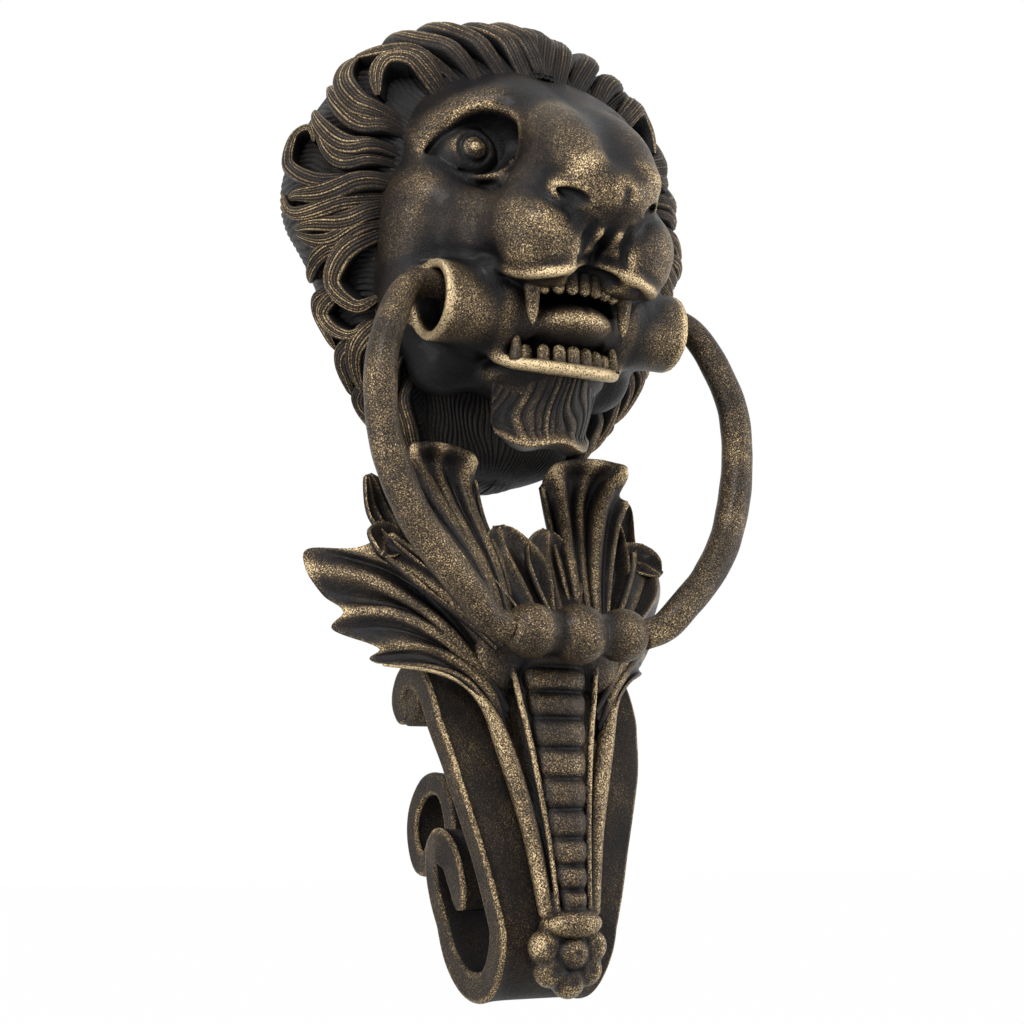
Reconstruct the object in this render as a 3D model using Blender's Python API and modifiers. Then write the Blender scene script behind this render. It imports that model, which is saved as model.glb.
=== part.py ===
"""Lion's head door knocker in cast iron.

A hollow head casting is bolted to the door by two studs. Two bail arms hang from sockets at the
corners of its mouth and carry the drop: an acanthus leaf casting with a scroll hammer behind it.

Frame: origin in the middle of the head's back face, +Y into the door, -Y towards the visitor,
+X to the visitor's right, +Z up. The constants are millimetres times MM, so Blender gets metres.
"""

import math

import bmesh
import bpy
import numpy as np
from mathutils import Matrix, Vector

MM = 0.001
GAP = 0.3 * MM  # clearance between seated pieces

# Swing axis, through both mouth sockets
AXIS_Y = -64 * MM
AXIS_Z = -20 * MM

# Mouth sockets
SOCKET_END = 42 * MM
SOCKET_ROOT = 10 * MM
SOCKET_RADIUS = 12.2 * MM
BORE_RADIUS = 9.5 * MM
BORE_FLOOR = 26 * MM

# Bail arms
ARM_RADIUS = 5 * MM
JOURNAL_RADIUS = 9.0 * MM
JOURNAL_LENGTH = 8 * MM
JOURNAL_FLOOR_GAP = 0.8 * MM
TENON_RADIUS = 4.2 * MM
TENON_END = 14 * MM
SHOULDER = 25 * MM

# Beaded barrel of the leaf casting, which takes the arms' tenons
BARREL_Y = -77 * MM
BARREL_Z = -118 * MM
BARREL_HALF = 23.5 * MM
BARREL_RADIUS = 6.6 * MM
BEAD_RADIUS = 8 * MM
BEAD_PITCH = 15.5 * MM
PIN_RADIUS = 1.5 * MM
PIN_X = 19 * MM
PIN_LENGTH = 10 * MM
PIN_SINK = 2.2 * MM  # how far a pin goes past the middle of the tenon

# Fixings: studs through the door, with a washer and a nut on each
STUD_RADIUS = 4 * MM
STUD_HEIGHTS = {"upper": 45 * MM, "lower": -24 * MM}
STUD_DEPTH = 14 * MM
DOOR_THICKNESS = 40 * MM
WASHER_RADIUS = 9 * MM
WASHER_THICKNESS = 1.6 * MM
NUT_RADIUS = 7.5 * MM
NUT_HEIGHT = 6.5 * MM
STUD_PROUD = 4 * MM

# Rosette screw, which clamps the foot of the leaf casting to the scroll
ROSETTE_Y = -72.5 * MM
ROSETTE_Z = -209 * MM
ROSETTE_RADIUS = 9.6 * MM
PETAL_RADIUS = 4.6 * MM
PETALS = 7
SCREW_RADIUS = 3 * MM
SCREW_TIP_Y = -59 * MM

# Scroll hammer
STRAP_THICKNESS = 8 * MM
HAMMER_THICKNESS = 7 * MM
HAMMER_HALF_WIDTH = 17.8 * MM
STRAP_EYE_RADIUS = 6.2 * MM
HAMMER_EYE_RADIUS = 4.6 * MM

# Tongue of the leaf casting: ribs that taper towards the rosette
TONGUE_RIBS = 9
TONGUE_TOP = Vector((0, -62.5, -127)) * MM
TONGUE_FOOT = Vector((0, -73.5, -196)) * MM
TONGUE_HALF_TOP = 10 * MM
TONGUE_HALF_FOOT = 4.2 * MM
RIB_SHRINK = 0.92  # each rib's height against the one above it

# Mesh sizes
HEAD_VOXEL = 1.2 * MM
HEAD_FACES = 5950
LEAF_VOXEL = 0.95 * MM
LEAF_FACES = 2700
ROSETTE_VOXEL = 0.7 * MM
ROSETTE_FACES = 520
ROUND_SIDES = 32

DARK_BRONZE = (0.060, 0.047, 0.034, 1.0)
GILT_BRONZE = (0.120, 0.088, 0.052, 1.0)
ZINC = (0.45, 0.45, 0.44, 1.0)


# Scene and object helpers


def clear_scene():
    for old in list(bpy.data.objects):
        bpy.data.objects.remove(old, do_unlink=True)


def new_collection(name):
    made = bpy.data.collections.new(name)
    bpy.context.scene.collection.children.link(made)
    return made


def new_material(name, colour, roughness, metallic):
    made = bpy.data.materials.new(name)
    made.use_nodes = True
    shader = made.node_tree.nodes["Principled BSDF"]
    shader.inputs["Base Color"].default_value = colour
    shader.inputs["Roughness"].default_value = roughness
    shader.inputs["Metallic"].default_value = metallic
    return made


def new_object(name, mesh, collection, material=None):
    made = bpy.data.objects.new(name, mesh)
    collection.objects.link(made)
    if material:
        mesh.materials.clear()
        mesh.materials.append(material)
    return made


def evaluated_mesh(obj):
    """The object's mesh with its modifiers and its place applied."""
    bpy.context.view_layer.update()
    graph = bpy.context.evaluated_depsgraph_get()
    mesh = bpy.data.meshes.new_from_object(obj.evaluated_get(graph))
    mesh.transform(obj.matrix_world)
    return mesh


def mesh_from(clay, name):
    mesh = bpy.data.meshes.new(name)
    clay.to_mesh(mesh)
    clay.free()
    return mesh


def smooth_shade(obj, angle=35):
    obj.data.shade_smooth()
    obj.data.set_sharp_from_angle(angle=math.radians(angle))


def boolean(obj, cutter, operation="DIFFERENCE", coiled=False):
    """Adds an exact Boolean; coiled is for a shape whose turns pass close to each other."""
    modifier = obj.modifiers.new(f"{operation.lower()} {cutter.name}", "BOOLEAN")
    modifier.operation = operation
    modifier.object = cutter
    modifier.use_self = coiled


def new_cutter(name, mesh):
    made = new_object(name, mesh, CUTTERS)
    made.hide_render = True
    made.display_type = "WIRE"
    return made


def apply_modifiers(obj):
    """Swaps the object's mesh for its evaluated one, so that later steps see plain faces."""
    mesh = evaluated_mesh(obj)
    obj.modifiers.clear()
    obj.data = mesh
    obj.matrix_world = Matrix.Identity(4)


# Shape helpers


def add_cylinder(clay, start, end, radius, sides=ROUND_SIDES, end_radius=None):
    """Adds a capped cylinder or cone that runs from start to end."""
    run = end - start
    place = Matrix.Translation((start + end) / 2) @ run.to_track_quat("Z", "Y").to_matrix().to_4x4()
    bmesh.ops.create_cone(
        clay,
        cap_ends=True,
        segments=sides,
        radius1=radius,
        radius2=radius if end_radius is None else end_radius,
        depth=run.length,
        matrix=place,
    )


def cylinder(start, end, radius, name, sides=ROUND_SIDES):
    clay = bmesh.new()
    add_cylinder(clay, start, end, radius, sides)
    return mesh_from(clay, name)


def add_ball(clay, centre, radii, pitch=0.0, yaw=0.0, mirror=False, rings=14):
    """Adds an ellipsoid, sizes in mm: pitch turns it about X and yaw about Z, in degrees."""
    for side in (1, -1) if mirror else (1,):
        x, y, z = centre
        place = (
            Matrix.Translation(Vector((side * x, y, z)) * MM)
            @ Matrix.Rotation(math.radians(side * yaw), 4, "Z")
            @ Matrix.Rotation(math.radians(pitch), 4, "X")
            @ Matrix.Diagonal((*(Vector(radii) * MM), 1))
        )
        bmesh.ops.create_uvsphere(clay, u_segments=2 * rings, v_segments=rings, radius=1, matrix=place)


def add_strands(clay, strands, mirror=False):
    """Adds round tapered strands: each is a list of ((x, y, z), radius) in mm along a smooth line."""
    curve = bpy.data.curves.new("strands", "CURVE")
    curve.dimensions = "3D"
    curve.bevel_depth = MM
    curve.bevel_resolution = 2
    curve.resolution_u = 3
    curve.use_fill_caps = True
    for side in (1, -1) if mirror else (1,):
        for strand in strands:
            spline = curve.splines.new("BEZIER")
            spline.bezier_points.add(len(strand) - 1)
            for point, ((x, y, z), radius) in zip(spline.bezier_points, strand):
                point.co = Vector((side * x, y, z)) * MM
                point.radius = radius
                point.handle_left_type = point.handle_right_type = "AUTO"
    guide = bpy.data.objects.new("strands", curve)
    bpy.context.scene.collection.objects.link(guide)
    mesh = evaluated_mesh(guide)
    bpy.data.objects.remove(guide)
    add_mesh(clay, mesh)


def add_mesh(clay, mesh):
    """Adds a mesh with its loose caps welded and its faces pointing out."""
    part = bmesh.new()
    part.from_mesh(mesh)
    bmesh.ops.remove_doubles(part, verts=part.verts, dist=0.02 * MM)
    bmesh.ops.recalc_face_normals(part, faces=part.faces)
    welded = mesh_from(part, "part")
    clay.from_mesh(welded)
    bpy.data.meshes.remove(welded)
    bpy.data.meshes.remove(mesh)


def island(start):
    """Every vertex that edges join to the start."""
    found = {start}
    waiting = [start]
    while waiting:
        vert = waiting.pop()
        for edge in vert.link_edges:
            other = edge.other_vert(vert)
            if other not in found:
                found.add(other)
                waiting.append(other)
    return found


def drop_crumbs(mesh):
    """Keeps a mesh's largest body and drops the specks that the melting leaves."""
    clay = bmesh.new()
    clay.from_mesh(mesh)
    left = set(clay.verts)
    bodies = []
    while left:
        bodies.append(island(next(iter(left))))
        left -= bodies[-1]
    bodies.sort(key=len)
    for body in bodies[:-1]:
        bmesh.ops.delete(clay, geom=list(body), context="VERTS")
    clay.to_mesh(mesh)
    clay.free()


def melt(clay, name, voxel, passes):
    """Melts overlapping shapes into one skin and eases its creases."""
    lump = new_object(name, mesh_from(clay, name), bpy.context.scene.collection)
    remesh = lump.modifiers.new("one skin", "REMESH")
    remesh.mode = "VOXEL"
    remesh.voxel_size = voxel
    ease = lump.modifiers.new("ease", "SMOOTH")
    ease.factor = 0.5
    ease.iterations = passes
    apply_modifiers(lump)
    drop_crumbs(lump.data)
    return lump


def fuse(clay, name, voxel, passes, faces):
    """Melts overlapping shapes and thins the skin to about that many faces."""
    lump = melt(clay, name, voxel, passes)
    thin = lump.modifiers.new("thin", "DECIMATE")
    thin.ratio = min(1.0, faces / (2 * len(lump.data.polygons)))
    mesh = evaluated_mesh(lump)
    bpy.data.objects.remove(lump)
    return mesh


def carved(lump, hollows):
    """The lump's mesh less the hollows; both objects are used up."""
    cutter = new_cutter("hollows", mesh_from(hollows, "hollows"))
    boolean(lump, cutter, coiled=True)
    mesh = evaluated_mesh(lump)
    bpy.data.objects.remove(lump)
    bpy.data.objects.remove(cutter)
    return mesh


def thickened(clay, name, thickness):
    """The open grids in clay as shells of that thickness."""
    shell = new_object(name, mesh_from(clay, name), bpy.context.scene.collection)
    thicken = shell.modifiers.new("thickness", "SOLIDIFY")
    thicken.thickness = thickness
    thicken.offset = 0
    mesh = evaluated_mesh(shell)
    bpy.data.objects.remove(shell)
    return mesh


def smooth_line(points, steps):
    """Points along a Catmull-Rom line through the given ones."""
    ends = [2 * points[0] - points[1], *points, 2 * points[-1] - points[-2]]
    line = []
    for before, a, b, after in zip(ends, ends[1:], ends[2:], ends[3:]):
        for step in range(steps):
            t = step / steps
            line.append(
                a
                + (b - before) * (t / 2)
                + (before * 2 - a * 5 + b * 4 - after) * (t * t / 2)
                + (a * 3 - before - b * 3 + after) * (t**3 / 2)
            )
    return [*line, points[-1].copy()]


def even_line(points, count=200):
    """Points at equal steps along the smooth line through the given ones."""
    line = np.array(smooth_line([Vector(p) for p in points], 16))
    way = np.concatenate([[0], np.cumsum(np.linalg.norm(np.diff(line, axis=0), axis=1))])
    steps = np.linspace(0, way[-1], count)
    return [Vector([np.interp(at, way, line[:, axis]) for axis in range(3)]) for at in steps]


def at_share(line, share):
    """The point at a share from 0 to 1 of an even line."""
    place = max(0.0, min(1.0, share)) * (len(line) - 1)
    low = min(int(place), len(line) - 2)
    return line[low].lerp(line[low + 1], place - low)


def ease(low, high, value):
    """0 below low, 1 above high, a smooth step between."""
    t = max(0.0, min(1.0, (value - low) / (high - low)))
    return t * t * (3 - 2 * t)


# Lion's head. Half lines on the +X side, from the crown down to the chest, in mm.

MANE_EDGE = even_line(
    (
        (0, -17, 84),
        (30, -16, 78),
        (50, -15, 65),
        (61, -14, 48),
        (67, -14, 29),
        (66, -14, 12),
        (59, -14, -4),
        (52, -14, -20),
        (43, -14, -37),
        (30, -15, -54),
        (10, -18, -66),
        (-2, -19, -68),
    )
)
HAIR_LINE = even_line(
    (
        (0, -58, 64),
        (24, -54, 59),
        (41, -48, 45),
        (47, -47, 24),
        (48, -44, 4),
        (45, -41, -14),
        (40, -36, -28),
        (30, -31, -42),
        (10, -32, -50),
        (-2, -33, -51),
    )
)
HEAD_MIDDLE = Vector((0, 0, 10))
MANE_SWELL = 6.0  # how far the mane rises between the hair line and its edge
HAIR_DEPTH = 14  # of the hair body under the locks
ROOT_SINK = 3.2  # how deep a lock starts under the hair
LOCK_ROUND = 0.8  # radius of a lock against its half width
LOCK_SINK = 0.2  # how deep its middle lies, against its half width

# Each lock: half width, lift, and its line as (share from crown to chest, share from hair line to edge)
LOCKS = (
    (4.4, 3.2, ((0.0, -0.05), (0.02, 0.45), (0.005, 1.05))),
    (4.4, 3.0, ((0.035, -0.05), (0.06, 0.4), (0.06, 1.0))),
    (4.4, 3.4, ((0.08, -0.05), (0.12, 0.4), (0.115, 1.0))),
    (4.4, 3.4, ((0.13, -0.05), (0.17, 0.4), (0.17, 0.95))),
    (3.6, 3.0, ((0.165, 0.05), (0.215, 0.55), (0.225, 0.95))),
    (4.3, 4.5, ((0.21, -0.05), (0.21, 0.2), (0.24, 0.35), (0.29, 0.2))),
    (4.3, 3.5, ((0.30, 0.05), (0.315, 0.3), (0.285, 0.6), (0.22, 0.85))),
    (3.6, 2.5, ((0.315, 0.0), (0.34, 0.3), (0.28, 0.9))),
    (3.4, 3.5, ((0.355, 0.0), (0.385, 0.35), (0.33, 0.85))),
    (3.1, 2.8, ((0.375, 0.0), (0.405, 0.35), (0.345, 0.8))),
    (2.6, 4.0, ((0.405, 0.05), (0.44, 0.5), (0.42, 0.9), (0.375, 0.95), (0.365, 0.75), (0.385, 0.65))),
    (3.8, 3.5, ((0.41, -0.05), (0.455, 0.45), (0.46, 0.9))),
    (2.9, 4.2, ((0.44, -0.05), (0.475, 0.4), (0.48, 0.8), (0.455, 1.0))),
    (3.3, 3.0, ((0.46, -0.05), (0.49, 0.3), (0.5, 0.85))),
    (3.1, 2.6, ((0.475, -0.05), (0.515, 0.35), (0.51, 0.85))),
    (3.9, 4.2, ((0.495, -0.05), (0.53, 0.25), (0.58, 0.4), (0.62, 0.2), (0.615, 0.0))),
    (2.9, 2.4, ((0.52, 0.25), (0.54, 0.6), (0.58, 0.9))),
    (2.9, 3.6, ((0.575, 0.3), (0.625, 0.7), (0.66, 0.4), (0.66, 0.15))),
    (2.9, 2.4, ((0.585, 0.5), (0.625, 0.9), (0.68, 0.8))),
    (3.7, 3.0, ((0.65, 0.0), (0.685, 0.35), (0.755, 0.55))),
    (3.4, 2.6, ((0.665, 0.3), (0.71, 0.75), (0.755, 0.85))),
    (3.8, 2.4, ((0.675, -0.05), (0.71, 0.2), (0.77, 0.4))),
    (3.6, 2.0, ((0.735, 0.5), (0.78, 0.8), (0.83, 0.85))),
    (4.0, 2.4, ((0.705, -0.05), (0.76, 0.15), (0.845, 0.5))),
    (4.0, 2.2, ((0.76, -0.05), (0.82, 0.25), (0.885, 0.8))),
)


def mane_point(share, out, lift):
    """A point of the mane, lift mm off the surface that swells from the hair line to the edge."""
    hair = at_share(HAIR_LINE, share)
    edge = at_share(MANE_EDGE, share)
    ahead = at_share(MANE_EDGE, share + 0.02) - at_share(MANE_EDGE, share - 0.02)
    normal = (edge - hair).cross(ahead).normalized()
    if normal.dot((hair + edge) / 2 - HEAD_MIDDLE) < 0:
        normal.negate()
    swell = MANE_SWELL * 4 * out * (1 - out)
    return hair.lerp(edge, out) + normal * (swell + lift)


def hair_body():
    """The mane under its locks, from the hair line over the edge to the back."""
    clay = bmesh.new()
    for side in (1, -1):
        grid = bmesh.ops.create_grid(clay, x_segments=48, y_segments=10, size=1)
        for vert in grid["verts"]:
            share = (vert.co.x + 1) / 2
            out = -0.1 + 0.7 * (vert.co.y + 1)
            place = mane_point(share, out, -1.6 - HAIR_DEPTH / 2)
            vert.co = Vector((side * place.x, place.y, place.z)) * MM
    return thickened(clay, "hair_body", HAIR_DEPTH * MM)


def lock_strand(half_width, lift, path):
    """A lock as a strand that rises out of the hair, follows its path and tapers to its tip."""
    line = smooth_line([Vector((share, out, 0)) for share, out in path], 3)
    strand = []
    for index, (share, out, _) in enumerate(line):
        way = index / (len(line) - 1)
        rise = (lift + ROOT_SINK) * ease(-0.05, 0.28, way) - ROOT_SINK
        place = mane_point(share, out, rise - LOCK_SINK * half_width)
        strand.append((place, LOCK_ROUND * half_width * math.sqrt(1 - 0.9 * way**5)))
    return strand


def add_mane(clay):
    """Hair body, locks, and the straight hair of the neck."""
    add_mesh(clay, hair_body())
    strands = [lock_strand(*lock) for lock in LOCKS]
    for x in (4, 12, 20, 28):
        strands.append([((x, -33, -30), 4), ((x, -36 + x / 4, -48), 4), ((x * 0.8, -32 + x / 4, -63), 3.5)])
    add_strands(clay, strands, mirror=True)
    add_ball(clay, (0, -3, 25), (58, 41, 52))
    add_ball(clay, (0, -2, -20), (46, 34, 40))
    add_ball(clay, (0, -13, -42), (36, 23, 26))


def add_skull(clay):
    """Skull, cheeks, brows and the bridge of the nose."""
    add_ball(clay, (0, -40, 38), (43, 26, 30))
    add_ball(clay, (0, -34, 14), (46, 30, 36))
    add_ball(clay, (35, -46, 9), (15, 17, 20), mirror=True)
    add_ball(clay, (36, -42, -12), (13, 15, 18), mirror=True)
    add_ball(clay, (10, -60, 47), (10, 7, 8), mirror=True)
    add_ball(clay, (35, -54, 14.5), (9, 7, 6), yaw=25, mirror=True)
    add_ball(clay, (13.5, -66, 29), (7, 7.5, 10), mirror=True)
    brow = [((9, -65, 43), 5), ((17, -65.5, 43.5), 4.8), ((26, -61, 43.4), 4.2), ((33, -55, 39.5), 3.2)]
    brow.append(((37, -50, 34.5), 2.6))
    bridge = [((6, -57, 42), 9.5), ((7.4, -71, 36), 10.6), ((8.4, -85.5, 25), 11), ((8, -97, 13.5), 8.6)]
    add_strands(clay, [brow, bridge], mirror=True)


def add_muzzle(clay):
    """Whisker pads, nose and jaws."""
    add_ball(clay, (0, -66, -4), (25, 20, 13))
    add_ball(clay, (15, -83, -2.4), (14.4, 13.4, 13.6), mirror=True)
    add_ball(clay, (20, -78, 3), (9.5, 9.5, 9.5), mirror=True)
    add_ball(clay, (9, -86, -4), (8.5, 8, 9.5), mirror=True)
    add_ball(clay, (13, -83.5, -9.5), (13, 9, 6.5), mirror=True)
    add_ball(clay, (14, -79, 14), (10, 11, 10), mirror=True)
    add_ball(clay, (27, -65, 3), (10, 10, 13), mirror=True)
    add_ball(clay, (0, -80, -2), (8, 7.5, 9))
    add_ball(clay, (4, -93, 4), (7, 8, 7.5), mirror=True)
    add_ball(clay, (0, -97.5, 8.4), (13, 10, 8.2))
    add_ball(clay, (13.6, -91.5, 9.5), (5.2, 7, 5.2), mirror=True)
    add_ball(clay, (0, -44, -22), (26, 17, 18))
    add_ball(clay, (0, -54, -38), (21, 20, 7.5))
    add_ball(clay, (25, -58, -20), (9, 13, 13), mirror=True)
    add_ball(clay, (27, -43, -32), (11, 13, 11), mirror=True)


def head_hollows():
    """Eye hollows, the inside of the mouth, nostrils and the grooves of the muzzle."""
    hollows = bmesh.new()
    add_ball(hollows, (25.2, -66.5, 31), (11.6, 10.4, 10), yaw=14, mirror=True)
    add_ball(hollows, (0, -74, -25.2), (18.8, 28, 9.6))
    add_ball(hollows, (0, -92, -15.5), (9.5, 11.5, 8.4))
    eye_corner = [((31, -63, 34), 3.2), ((35, -57.5, 31.5), 2.4), ((38.5, -52.5, 29), 1.2)]
    nostril = [((10.8, -102, 3.6), 1.2), ((12, -100.8, 4.6), 2), ((13.6, -98.5, 6), 2.2)]
    nostril.append(((16.2, -95, 8.8), 1.2))
    crease = [((23, -78, 17), 1), ((27, -74.5, 12), 1.6), ((30.5, -72.5, 4), 2), ((31, -70.5, -5), 1.7)]
    add_strands(hollows, [eye_corner, nostril, crease], mirror=True)
    add_strands(hollows, [[((0, -106, 1), 1.2), ((0, -96, -4.4), 1.7), ((0, -89, -5), 1.7)]])
    return hollows


def arch(half):
    """A strand from one side to the other, given its points from the -X end to the middle."""
    return half + [((-x, y, z), radius) for (x, y, z), radius in half[-2::-1]]


def add_eyes(clay):
    add_ball(clay, (25, -51.8, 29.4), (11.6, 11.6, 11.6), mirror=True)
    lower_lid = [((14.5, -64.5, 27), 1.3), ((19, -64.2, 22.8), 1.6), ((26, -62.4, 20.8), 1.7)]
    lower_lid += [((33, -58.2, 22.4), 1.6), ((37, -53.5, 27), 1.4)]
    add_strands(clay, [lower_lid], mirror=True)


def add_mouth(clay):
    """Tongue, lips, rows of teeth, canines and the chin beard."""
    add_ball(clay, (0, -70, -25.2), (14.4, 15, 7))
    add_ball(clay, (0, -62, -29), (13, 12, 7.5))
    upper_teeth = arch([((-16.5, -73.5, -14.5), 2.8), ((-12, -78.6, -14.6), 2.9), ((0, -81.8, -14.6), 3)])
    lower_teeth = arch([((-17, -69, -34), 2.6), ((-11, -74, -34.5), 2.7), ((0, -76.2, -34.5), 2.7)])
    lip = [((-20.5, -64, -34), 2.2), ((-18, -69.5, -37.4), 2.5), ((-10, -75.6, -39.2), 2.7)]
    lip.append(((0, -77.8, -39.8), 2.7))
    add_strands(clay, [upper_teeth, lower_teeth, arch(lip)])
    canine = [((16.2, -79.5, -12.5), 3.2), ((16, -79.3, -20), 2.8), ((15.6, -79, -27.5), 1.5)]
    upper_lip = [((0, -84.5, -7.6), 1.6), ((6, -89, -10.6), 1.9), ((12, -92, -14.2), 2)]
    upper_lip += [((15.5, -92, -15.6), 2), ((20, -88, -15.4), 2), ((25, -80.5, -13.2), 2)]
    upper_lip.append(((27.5, -73, -9.6), 2))
    corner = [((26, -74, -11), 2.2), ((25.5, -69, -20), 2.4), ((23.5, -65, -30), 2.4), ((20, -66, -36), 2.4)]
    add_strands(clay, [canine, upper_lip, corner], mirror=True)
    add_ball(clay, (0, -58, -48), (17, 12, 13))
    beard = []
    for x in (0, 6, 12, 16):
        back = x * x / 30  # the tuft is round, so its outer strands lie further back and end higher
        foot = (x * 0.9, back - 67, -61.5 + back)
        beard.append([((x, back - 72, -42), 3.8), ((x, back - 70, -52 + back / 2), 3.8), (foot, 3)])
    add_strands(clay, beard, mirror=True)


def build_head(collection, material):
    """The blank is modelled, its hollows cut, eyes and mouth set in, and the whole thinned."""
    clay = bmesh.new()
    add_mane(clay)
    add_skull(clay)
    add_muzzle(clay)
    blank = carved(melt(clay, "head_blank", HEAD_VOXEL, 2), head_hollows())
    clay = bmesh.new()
    clay.from_mesh(blank)
    add_eyes(clay)
    add_mouth(clay)
    skin = fuse(clay, "lion_head", HEAD_VOXEL, 1, HEAD_FACES)
    head = new_object("lion_head", skin, collection, material)

    sockets = bmesh.new()
    bores = bmesh.new()
    for side in (1, -1):
        axis = Vector((0, AXIS_Y, AXIS_Z))
        along = Vector((side, 0, 0))
        mouth = axis + along * SOCKET_END
        add_cylinder(sockets, axis + along * SOCKET_ROOT, mouth, SOCKET_RADIUS)
        add_cylinder(bores, axis + along * BORE_FLOOR, mouth + along * 30 * MM, BORE_RADIUS)
    boolean(head, new_cutter("mouth_sockets", mesh_from(sockets, "mouth_sockets")), "UNION")
    boolean(head, new_cutter("socket_bores", mesh_from(bores, "socket_bores")))

    cores = bmesh.new()
    add_ball(cores, (30, 2, 18), (25.8, 46.5, 46.5), mirror=True, rings=10)
    boolean(head, new_cutter("casting_cores", mesh_from(cores, "casting_cores")))

    door = bmesh.new()
    block = Matrix.Translation((0, 150 * MM, 0)) @ Matrix.Diagonal((400 * MM, 300 * MM, 400 * MM, 1))
    bmesh.ops.create_cube(door, size=1, matrix=block)
    boolean(head, new_cutter("door_plane", mesh_from(door, "door_plane")))

    tappings = bmesh.new()
    for height in STUD_HEIGHTS.values():
        floor = Vector((0, -STUD_DEPTH - GAP, height))
        add_cylinder(tappings, floor, floor + Vector((0, 2 * STUD_DEPTH, 0)), STUD_RADIUS + GAP, 20)
    boolean(head, new_cutter("stud_tappings", mesh_from(tappings, "stud_tappings")))
    smooth_shade(head)
    return head


# Fixings


def build_fixings(collection, material):
    """A stud, a washer and a hexagon nut at each height, as they sit with the door between."""
    for place, height in STUD_HEIGHTS.items():
        foot = Vector((0, -STUD_DEPTH, height))
        washer_face = Vector((0, DOOR_THICKNESS, height))
        nut_face = washer_face + Vector((0, WASHER_THICKNESS + GAP, 0))
        tip = nut_face + Vector((0, NUT_HEIGHT + STUD_PROUD, 0))
        stud = cylinder(foot, tip, STUD_RADIUS, "stud", 20)
        smooth_shade(new_object(f"fixing_stud_{place}", stud, collection, material))
        into = Vector((0, 1, 0))
        shapes = (
            ("washer", washer_face, WASHER_THICKNESS, WASHER_RADIUS, 20),
            ("nut", nut_face, NUT_HEIGHT, NUT_RADIUS, 6),
        )
        for kind, face, height_of, radius, sides in shapes:
            name = f"fixing_{kind}_{place}"
            blank = cylinder(face, face + into * height_of, radius, name, sides)
            made = new_object(name, blank, collection, material)
            hole = cylinder(face - into * 5 * MM, face + into * 20 * MM, STUD_RADIUS + GAP, "hole", 20)
            boolean(made, new_cutter(f"{name}_hole", hole))
            smooth_shade(made)


# Knocker: bail arms. The +X arm's centre line below its journal, in mm.

ARM_LINE = (
    (37, -64, -20),
    (43, -64, -20),
    (51, -65, -22),
    (57, -68.5, -30),
    (61.3, -72, -45),
    (60.6, -74, -65),
    (54.2, -77, -85),
    (45.5, -79, -98.5),
    (36, -79.5, -108.5),
    (30, -77.8, -116),
    (27, -77, -118),
    (25, -77, -118),
)


def build_arm(name, side, collection, material):
    """A round bar with a journal on its upper end and a tenon on its lower end."""
    clay = bmesh.new()
    line = [((side * x, y, z), ARM_RADIUS / MM) for x, y, z in ARM_LINE]
    add_strands(clay, [line])
    arm = new_object(name, mesh_from(clay, name), collection, material)
    along = Vector((side, 0, 0))
    axis = Vector((0, AXIS_Y, AXIS_Z))
    barrel = Vector((0, BARREL_Y, BARREL_Z))
    floor = axis + along * (BORE_FLOOR + JOURNAL_FLOOR_GAP)
    journal = cylinder(floor, floor + along * JOURNAL_LENGTH, JOURNAL_RADIUS, "journal")
    neck_end = axis + along * (SOCKET_END - 3 * MM)
    neck = cylinder(floor + along * 2 * MM, neck_end, ARM_RADIUS * 1.02, "neck", 16)
    tenon_root = barrel + along * (SHOULDER + 3 * MM)
    tenon = cylinder(barrel + along * TENON_END, tenon_root, TENON_RADIUS, "tenon", 16)
    for part in (journal, neck, tenon):
        boolean(arm, new_cutter(f"{name}_{part.name}", part), "UNION")
    boolean(arm, PIN_HOLES)
    smooth_shade(arm)


def pin_mesh(side, grow, start):
    """A cross pin driven into the barrel from behind."""
    back = Vector((side * PIN_X, BARREL_Y + start, BARREL_Z))
    return cylinder(back, back - Vector((0, start + PIN_SINK + grow, 0)), PIN_RADIUS + grow, "pin", 12)


# Knocker: leaf casting. Lobes of the +X leaf in mm: four points of the midrib, half width, and the
# way the front of the blade faces. A fan keeps its width up to a blunt tip.

LOBES = {
    "inner": (((4, -64, -116), (5, -56, -104), (6.5, -50, -90), (8, -54, -80)), 8, (0.1, -1, 0.25)),
    "upright": (((14, -64, -122), (17, -55, -98), (25, -37, -72), (28, -45, -57)), 13, (-0.3, -1, 0.2)),
    "outer": (((18, -60, -118), (28, -47, -100), (40, -31, -82), (46, -30, -67)), 9.5, (-0.35, -1, 0.35)),
    "curl": (((18, -64, -122), (30, -56, -106), (41, -45, -92), (45.5, -53, -94)), 8, (-0.2, -1, 0.5)),
    "tip": (((17, -64, -128), (33, -56, -114), (51, -40, -102), (62, -26, -99)), 11.5, (-0.1, -1, 0.45)),
    "second": (((16, -64, -131), (31, -58, -121), (46, -44, -115), (55, -30, -116)), 8.5, (0, -1, 0.3)),
    "third": (((15, -64, -134), (25, -60, -126), (36, -50, -122), (45, -38, -125)), 7, (0.1, -1, 0.1)),
}
LEAF_THICKNESS = 3.2 * MM
LEAF_ROWS = 14
LEAF_COLUMNS = 18
LEAF_CUP = 0.34
LEAF_FLUTES = 2
FLUTE_DEPTH = 0.07  # against the half width
FAN_LOBES = ("upright", "tip")
RAIL = (
    ((17.5, -64, -126), 3.4),
    ((14.5, -67, -146), 3.4),
    ((10.5, -70.5, -168), 3.2),
    ((5.6, -75, -197), 3.0),
)


def lobe_width(share, shoulder):
    """Half width along a lobe against its greatest: narrow root, full shoulder, round tip."""
    if share < shoulder:
        return 0.34 + 0.66 * math.sin(share / shoulder * math.pi / 2)
    return math.sqrt(max(0.0, 1 - ((share - shoulder) / (1.02 - shoulder)) ** 2))


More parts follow.
